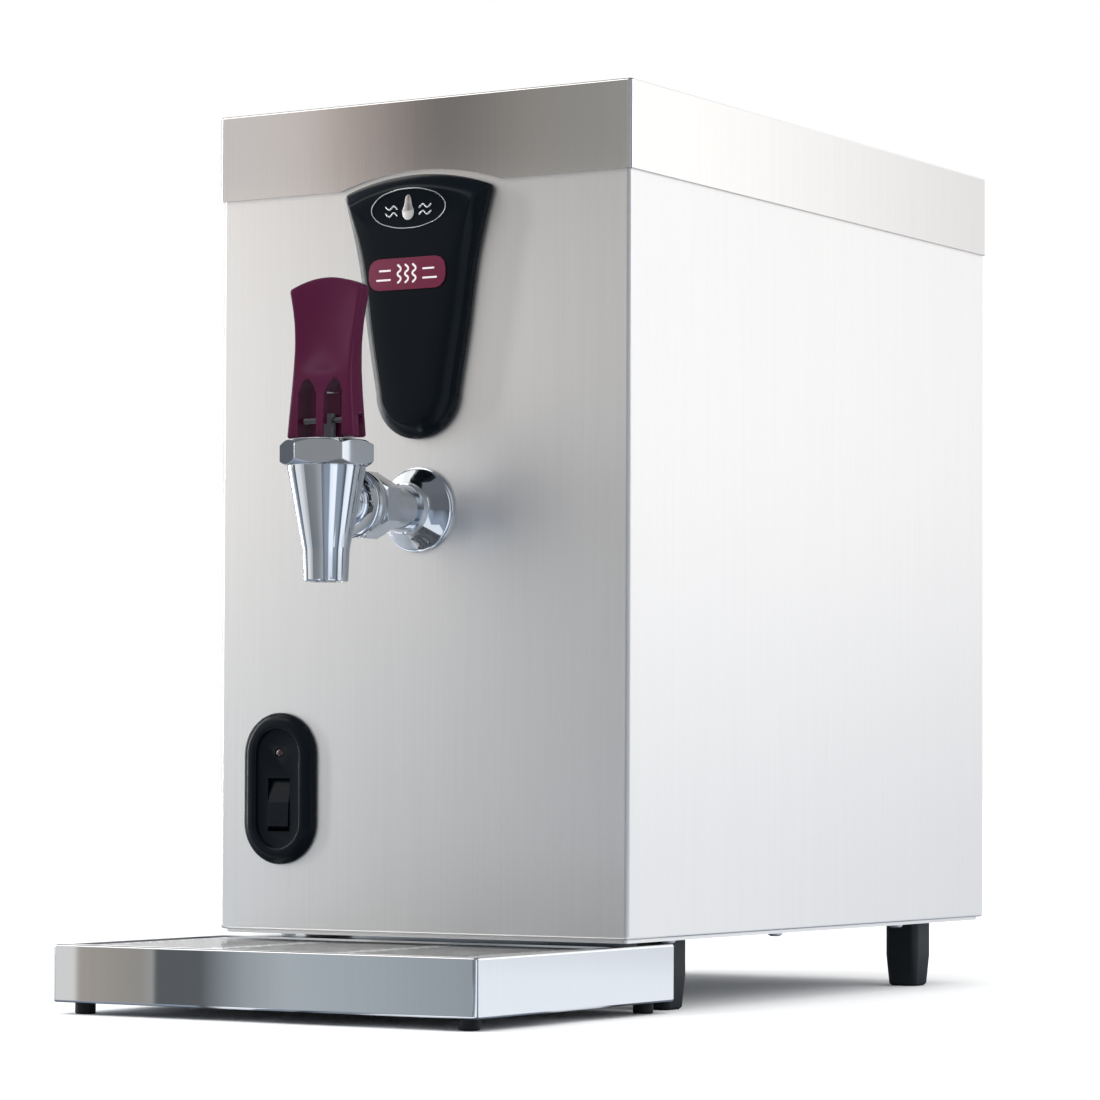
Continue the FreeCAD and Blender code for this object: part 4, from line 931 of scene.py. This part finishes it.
# tones of the painted reflection on the floor, which only glossy rays see
rayWhite, rayBlue, rayDark = (0.74, 0.78, 0.84), (0.20, 0.24, 0.30), (0.02, 0.024, 0.03)
paintedReflectionRays = [
    (-180, rayBlue), (-150, rayBlue), (-146, rayWhite), (-132, rayWhite), (-128, rayDark), (-112, rayBlue),
    (-92, rayBlue), (-88, rayWhite), (-74, rayWhite), (-70, rayDark), (-60, rayBlue), (-36, rayBlue), (-32, rayDark),
    (-24, rayWhite), (-10, rayWhite), (-6, rayBlue), (16, rayBlue), (20, rayDark), (30, rayBlue), (44, rayBlue),
    (47, rayWhite), (60, rayWhite), (64, rayDark), (76, rayBlue), (98, rayBlue), (102, rayWhite), (118, rayWhite),
    (122, rayDark), (136, rayBlue), (180, rayBlue),
]


def makeFloor():
    bm = bmesh.new()
    bmesh.ops.create_grid(bm, x_segments=1, y_segments=1, size=12.0)
    floor = newObject("floor", meshFrom(bm, "floor"))
    material, tree, shader = startMaterial("paleFloor", studio["floorColor"], 0.0, 0.9)
    # pale to look at; glossy rays see a painted reflection instead, cool light and dark rays spreading out from under
    # the tap, which polished metal mirrors
    where = tree.nodes.new("ShaderNodeTexCoord").outputs["Object"]
    shifted = tree.nodes.new("ShaderNodeMapping")
    shifted.inputs["Location"].default_value = (0, -tap["y"] * mm, 0)
    tree.links.new(where, shifted.inputs["Vector"])
    rays = byBearing(tree, shifted.outputs["Vector"], paintedReflectionRays)
    mirrored = tree.nodes.new("ShaderNodeLightPath").outputs["Is Glossy Ray"]
    tone = blendColor(tree, mirrored, studio["floorColor"], rays)
    tree.links.new(tone, shader.inputs["Base Color"])
    floor.data.materials.append(material)


surround = [  # compass bearing from the front, in degrees towards the right, and the tone met there
    (-180, (1.10, 1.12, 1.15)), (-140, (1.05, 1.05, 1.05)), (-128, (0.12, 0.13, 0.15)), (-106, (0.14, 0.15, 0.17)),
    (-98, (0.90, 0.91, 0.92)), (-84, (0.95, 0.95, 0.96)), (-78, (0.20, 0.21, 0.23)), (-66, (0.25, 0.26, 0.28)),
    (-58, (0.85, 0.84, 0.83)), (-46, (0.66, 0.64, 0.62)), (-26, (0.60, 0.585, 0.57)), (-8, (0.46, 0.46, 0.47)),
    (0, (0.10, 0.11, 0.125)), (12, (0.09, 0.10, 0.115)), (18, (0.58, 0.61, 0.65)), (28, (0.66, 0.69, 0.73)),
    (34, (0.12, 0.13, 0.15)), (42, (0.10, 0.11, 0.13)), (48, (0.74, 0.77, 0.81)), (57, (0.80, 0.83, 0.87)),
    (62, (0.14, 0.15, 0.17)), (76, (0.16, 0.17, 0.19)), (83, (0.55, 0.58, 0.62)), (96, (0.40, 0.43, 0.47)),
    (110, (0.28, 0.30, 0.33)), (120, (0.95, 0.96, 0.98)), (136, (1.32, 1.33, 1.34)), (160, (1.30, 1.31, 1.33)),
    (180, (1.10, 1.12, 1.15)),
]


def makeWorld():
    world = bpy.data.worlds.new("studio")
    scene.world = world
    world.use_nodes = True
    tree = world.node_tree
    surface = tree.nodes["Background"]
    where = tree.nodes.new("ShaderNodeTexCoord").outputs["Generated"]
    around = byBearing(tree, where, surround)
    split = tree.nodes.new("ShaderNodeSeparateXYZ")
    tree.links.new(where, split.inputs["Vector"])
    # the stripes end in an even dark ceiling
    cap = tree.nodes.new("ShaderNodeMapRange")
    cap.inputs["From Min"].default_value = 0.5
    cap.inputs["From Max"].default_value = 0.75
    tree.links.new(split.outputs["Z"], cap.inputs["Value"])
    capped = blendColor(tree, cap.outputs["Result"], around, studio["ceiling"])
    path = tree.nodes.new("ShaderNodeLightPath")
    plain = addMath(tree, "MAXIMUM", path.outputs["Is Camera Ray"], path.outputs["Is Diffuse Ray"])
    tree.links.new(blendColor(tree, plain, capped, (1.0, 1.0, 1.0)), surface.inputs["Color"])
    surface.inputs["Strength"].default_value = studio["worldStrength"]


def makeLight(name, place, aim, size, power, color=(1, 1, 1)):
    data = bpy.data.lights.new(name, "AREA")
    data.shape = "RECTANGLE"
    data.size, data.size_y = size
    data.energy = power
    data.color = color
    lamp = newObject(name, data)
    lamp.location = place
    lamp.rotation_mode = "QUATERNION"
    lamp.rotation_quaternion = (Vector(aim) - Vector(place)).to_track_quat("-Z", "Y")
    return lamp


def makeSky(name, toward, power, spread):
    # An even, very soft light from above, for the whole floor.
    data = bpy.data.lights.new(name, "SUN")
    data.energy = power
    data.angle = radians(spread)
    lamp = newObject(name, data)
    lamp.visible_glossy = False
    lamp.rotation_mode = "QUATERNION"
    lamp.rotation_quaternion = (-Vector(toward)).to_track_quat("-Z", "Y")
    return lamp


def makeCard(name, corner, across, up, lowStops, highStops=None):
    # A card that only reflections see; its tone changes along its length, and from its foot to its head.
    bm = bmesh.new()
    a = Vector(corner)
    corners = [bm.verts.new(p) for p in (a, a + Vector(across), a + Vector(across) + Vector(up), a + Vector(up))]
    face = bm.faces.new(corners)
    layer = bm.loops.layers.uv.new("card")
    for loop, uv in zip(face.loops, ((0, 0), (1, 0), (1, 1), (0, 1))):
        loop[layer].uv = uv
    mesh = bpy.data.meshes.new(name)
    bm.to_mesh(mesh)
    bm.free()
    card = newObject(name, mesh)
    material = bpy.data.materials.new(name)
    material.use_nodes = True
    tree = material.node_tree
    tree.nodes.clear()
    end = tree.nodes.new("ShaderNodeOutputMaterial")
    glow = tree.nodes.new("ShaderNodeEmission")
    where = tree.nodes.new("ShaderNodeUVMap")
    split = tree.nodes.new("ShaderNodeSeparateXYZ")
    tree.links.new(where.outputs["UV"], split.inputs["Vector"])
    foot = tree.nodes.new("ShaderNodeValToRGB")
    fillRamp(foot, lowStops)
    head = tree.nodes.new("ShaderNodeValToRGB")
    fillRamp(head, highStops or lowStops)
    for ramp in (foot, head):
        tree.links.new(split.outputs["X"], ramp.inputs["Fac"])
    mixed = blendColor(tree, split.outputs["Y"], foot.outputs["Color"], head.outputs["Color"])
    tree.links.new(mixed, glow.inputs["Color"])
    tree.links.new(glow.outputs["Emission"], end.inputs["Surface"])
    card.data.materials.append(material)
    card.visible_camera = False
    card.visible_shadow = False
    card.visible_diffuse = False
    card.visible_transmission = False
    return card


makeCamera()
makeFloor()
makeWorld()
makeLight("keyLight", (-1.6, -1.6, 2.2), (0, 0, 0.2), (1.8, 1.8), 22, (1.0, 0.985, 0.965))
makeLight("fillLight", (2.4, 0.6, 1.4), (0, 0, 0.2), (1.6, 1.6), 14, (0.97, 0.985, 1.0))
makeLight("stripLight", (-1.30, -0.55, 0.42), (0, -0.14, 0.30), (0.10, 1.3), 9, (0.95, 0.98, 1.0))
makeSky("sunLight", (0.3, -0.25, 1.0), 1.15, 100)

# Cards seen only in glossy reflections, each noted with the surface that mirrors it.
cards = {
    # the front panel: bright at its left end, dim and cool at its right foot
    "panelCard": {
        "corner": (-0.95, -0.62, 0.0), "across": (1.15, 0, 0), "up": (0, 0, 0.47),
        "low": [(0.0, (0.95, 0.97, 1.0)), (0.40, (0.80, 0.84, 0.86)), (0.55, (0.42, 0.45, 0.49)),
                (0.75, (0.22, 0.24, 0.27)), (1.0, (0.16, 0.18, 0.20))],
        "high": [(0.0, (1.3, 1.25, 1.2)), (0.40, (1.15, 1.10, 1.06)), (0.55, (0.66, 0.645, 0.63)),
                 (0.75, (0.46, 0.45, 0.44)), (1.0, (0.40, 0.40, 0.39))],
    },
    # the lid's front
    "lidCard": {
        "corner": (-0.3418, -0.40, 0.425), "across": (0.3318, 0, 0), "up": (0, 0, 0.2),
        "low": [(0.0, (0.72, 0.70, 0.70)), (0.25, (0.74, 0.70, 0.69)), (0.31, (0.64, 0.56, 0.53)),
                (0.36, (0.47, 0.41, 0.37)), (0.42, (0.37, 0.32, 0.31)), (0.47, (0.30, 0.26, 0.25)),
                (0.505, (0.16, 0.155, 0.15)), (0.55, (0.145, 0.14, 0.135)), (0.61, (0.20, 0.19, 0.185)),
                (0.66, (0.26, 0.25, 0.24)), (0.72, (0.32, 0.31, 0.295)), (0.86, (0.33, 0.33, 0.32)),
                (1.0, (0.37, 0.37, 0.36))],
    },
    # the tray's front
    "trayCard": {
        "corner": (-0.175, -0.30, 0.0005), "across": (0.268, 0, 0), "up": (0, 0, 0.04),
        "low": [(0.0, (0.80, 0.80, 0.81)), (0.155, (0.78, 0.775, 0.76)), (0.165, (0.42, 0.385, 0.35)),
                (0.30, (0.34, 0.325, 0.305)), (0.325, (0.38, 0.38, 0.37)), (0.334, (0.115, 0.125, 0.135)),
                (0.429, (0.12, 0.13, 0.14)), (0.465, (0.22, 0.25, 0.27)), (0.518, (0.36, 0.40, 0.43)),
                (0.607, (0.47, 0.515, 0.555)), (0.777, (0.42, 0.465, 0.51)), (1.0, (0.34, 0.385, 0.42))],
    },
    # the right side of the tray, and the foot of the side panel
    "sideFloorCard": {
        "corner": (0.13, -0.25, 0.0006), "across": (0, 1.9, 0), "up": (0.9, 0, 0),
        "low": [(0.0, (1.0, 1.05, 1.12)), (0.2, (0.98, 1.03, 1.10)), (0.36, (0.84, 0.88, 0.94)),
                (0.8, (0.80, 0.83, 0.88)), (1.0, (0.62, 0.65, 0.70))],
    },
    # the side panel, and above that the lid's side: white, dimmer towards the rear
    "sideCard": {
        "corner": (0.715, 0.55, 0.0), "across": (0, 1.4, 0), "up": (0, 0, 0.42),
        "low": [(0.0, (1.20, 1.23, 1.28)), (0.3, (1.12, 1.15, 1.21)), (0.75, (0.62, 0.64, 0.68)),
                (1.0, (0.52, 0.54, 0.58))],
        "high": [(0.0, (1.7, 1.7, 1.7)), (0.3, (1.65, 1.65, 1.66)), (0.75, (0.98, 0.98, 1.0)),
                 (1.0, (0.88, 0.88, 0.90))],
    },
    "sideHighCard": {
        "corner": (0.715, 0.55, 0.42), "across": (0, 1.4, 0), "up": (0, 0, 0.4),
        "low": [(0.0, (1.5, 1.5, 1.5)), (0.3, (1.42, 1.42, 1.42)), (0.68, (0.98, 0.97, 0.98)),
                (1.0, (0.9, 0.9, 0.9))],
    },
}
for name, card in cards.items():
    makeCard(name, card["corner"], card["across"], card["up"], card["low"], card.get("high"))
scene.view_settings.view_transform = "Standard"
print("studio ready")
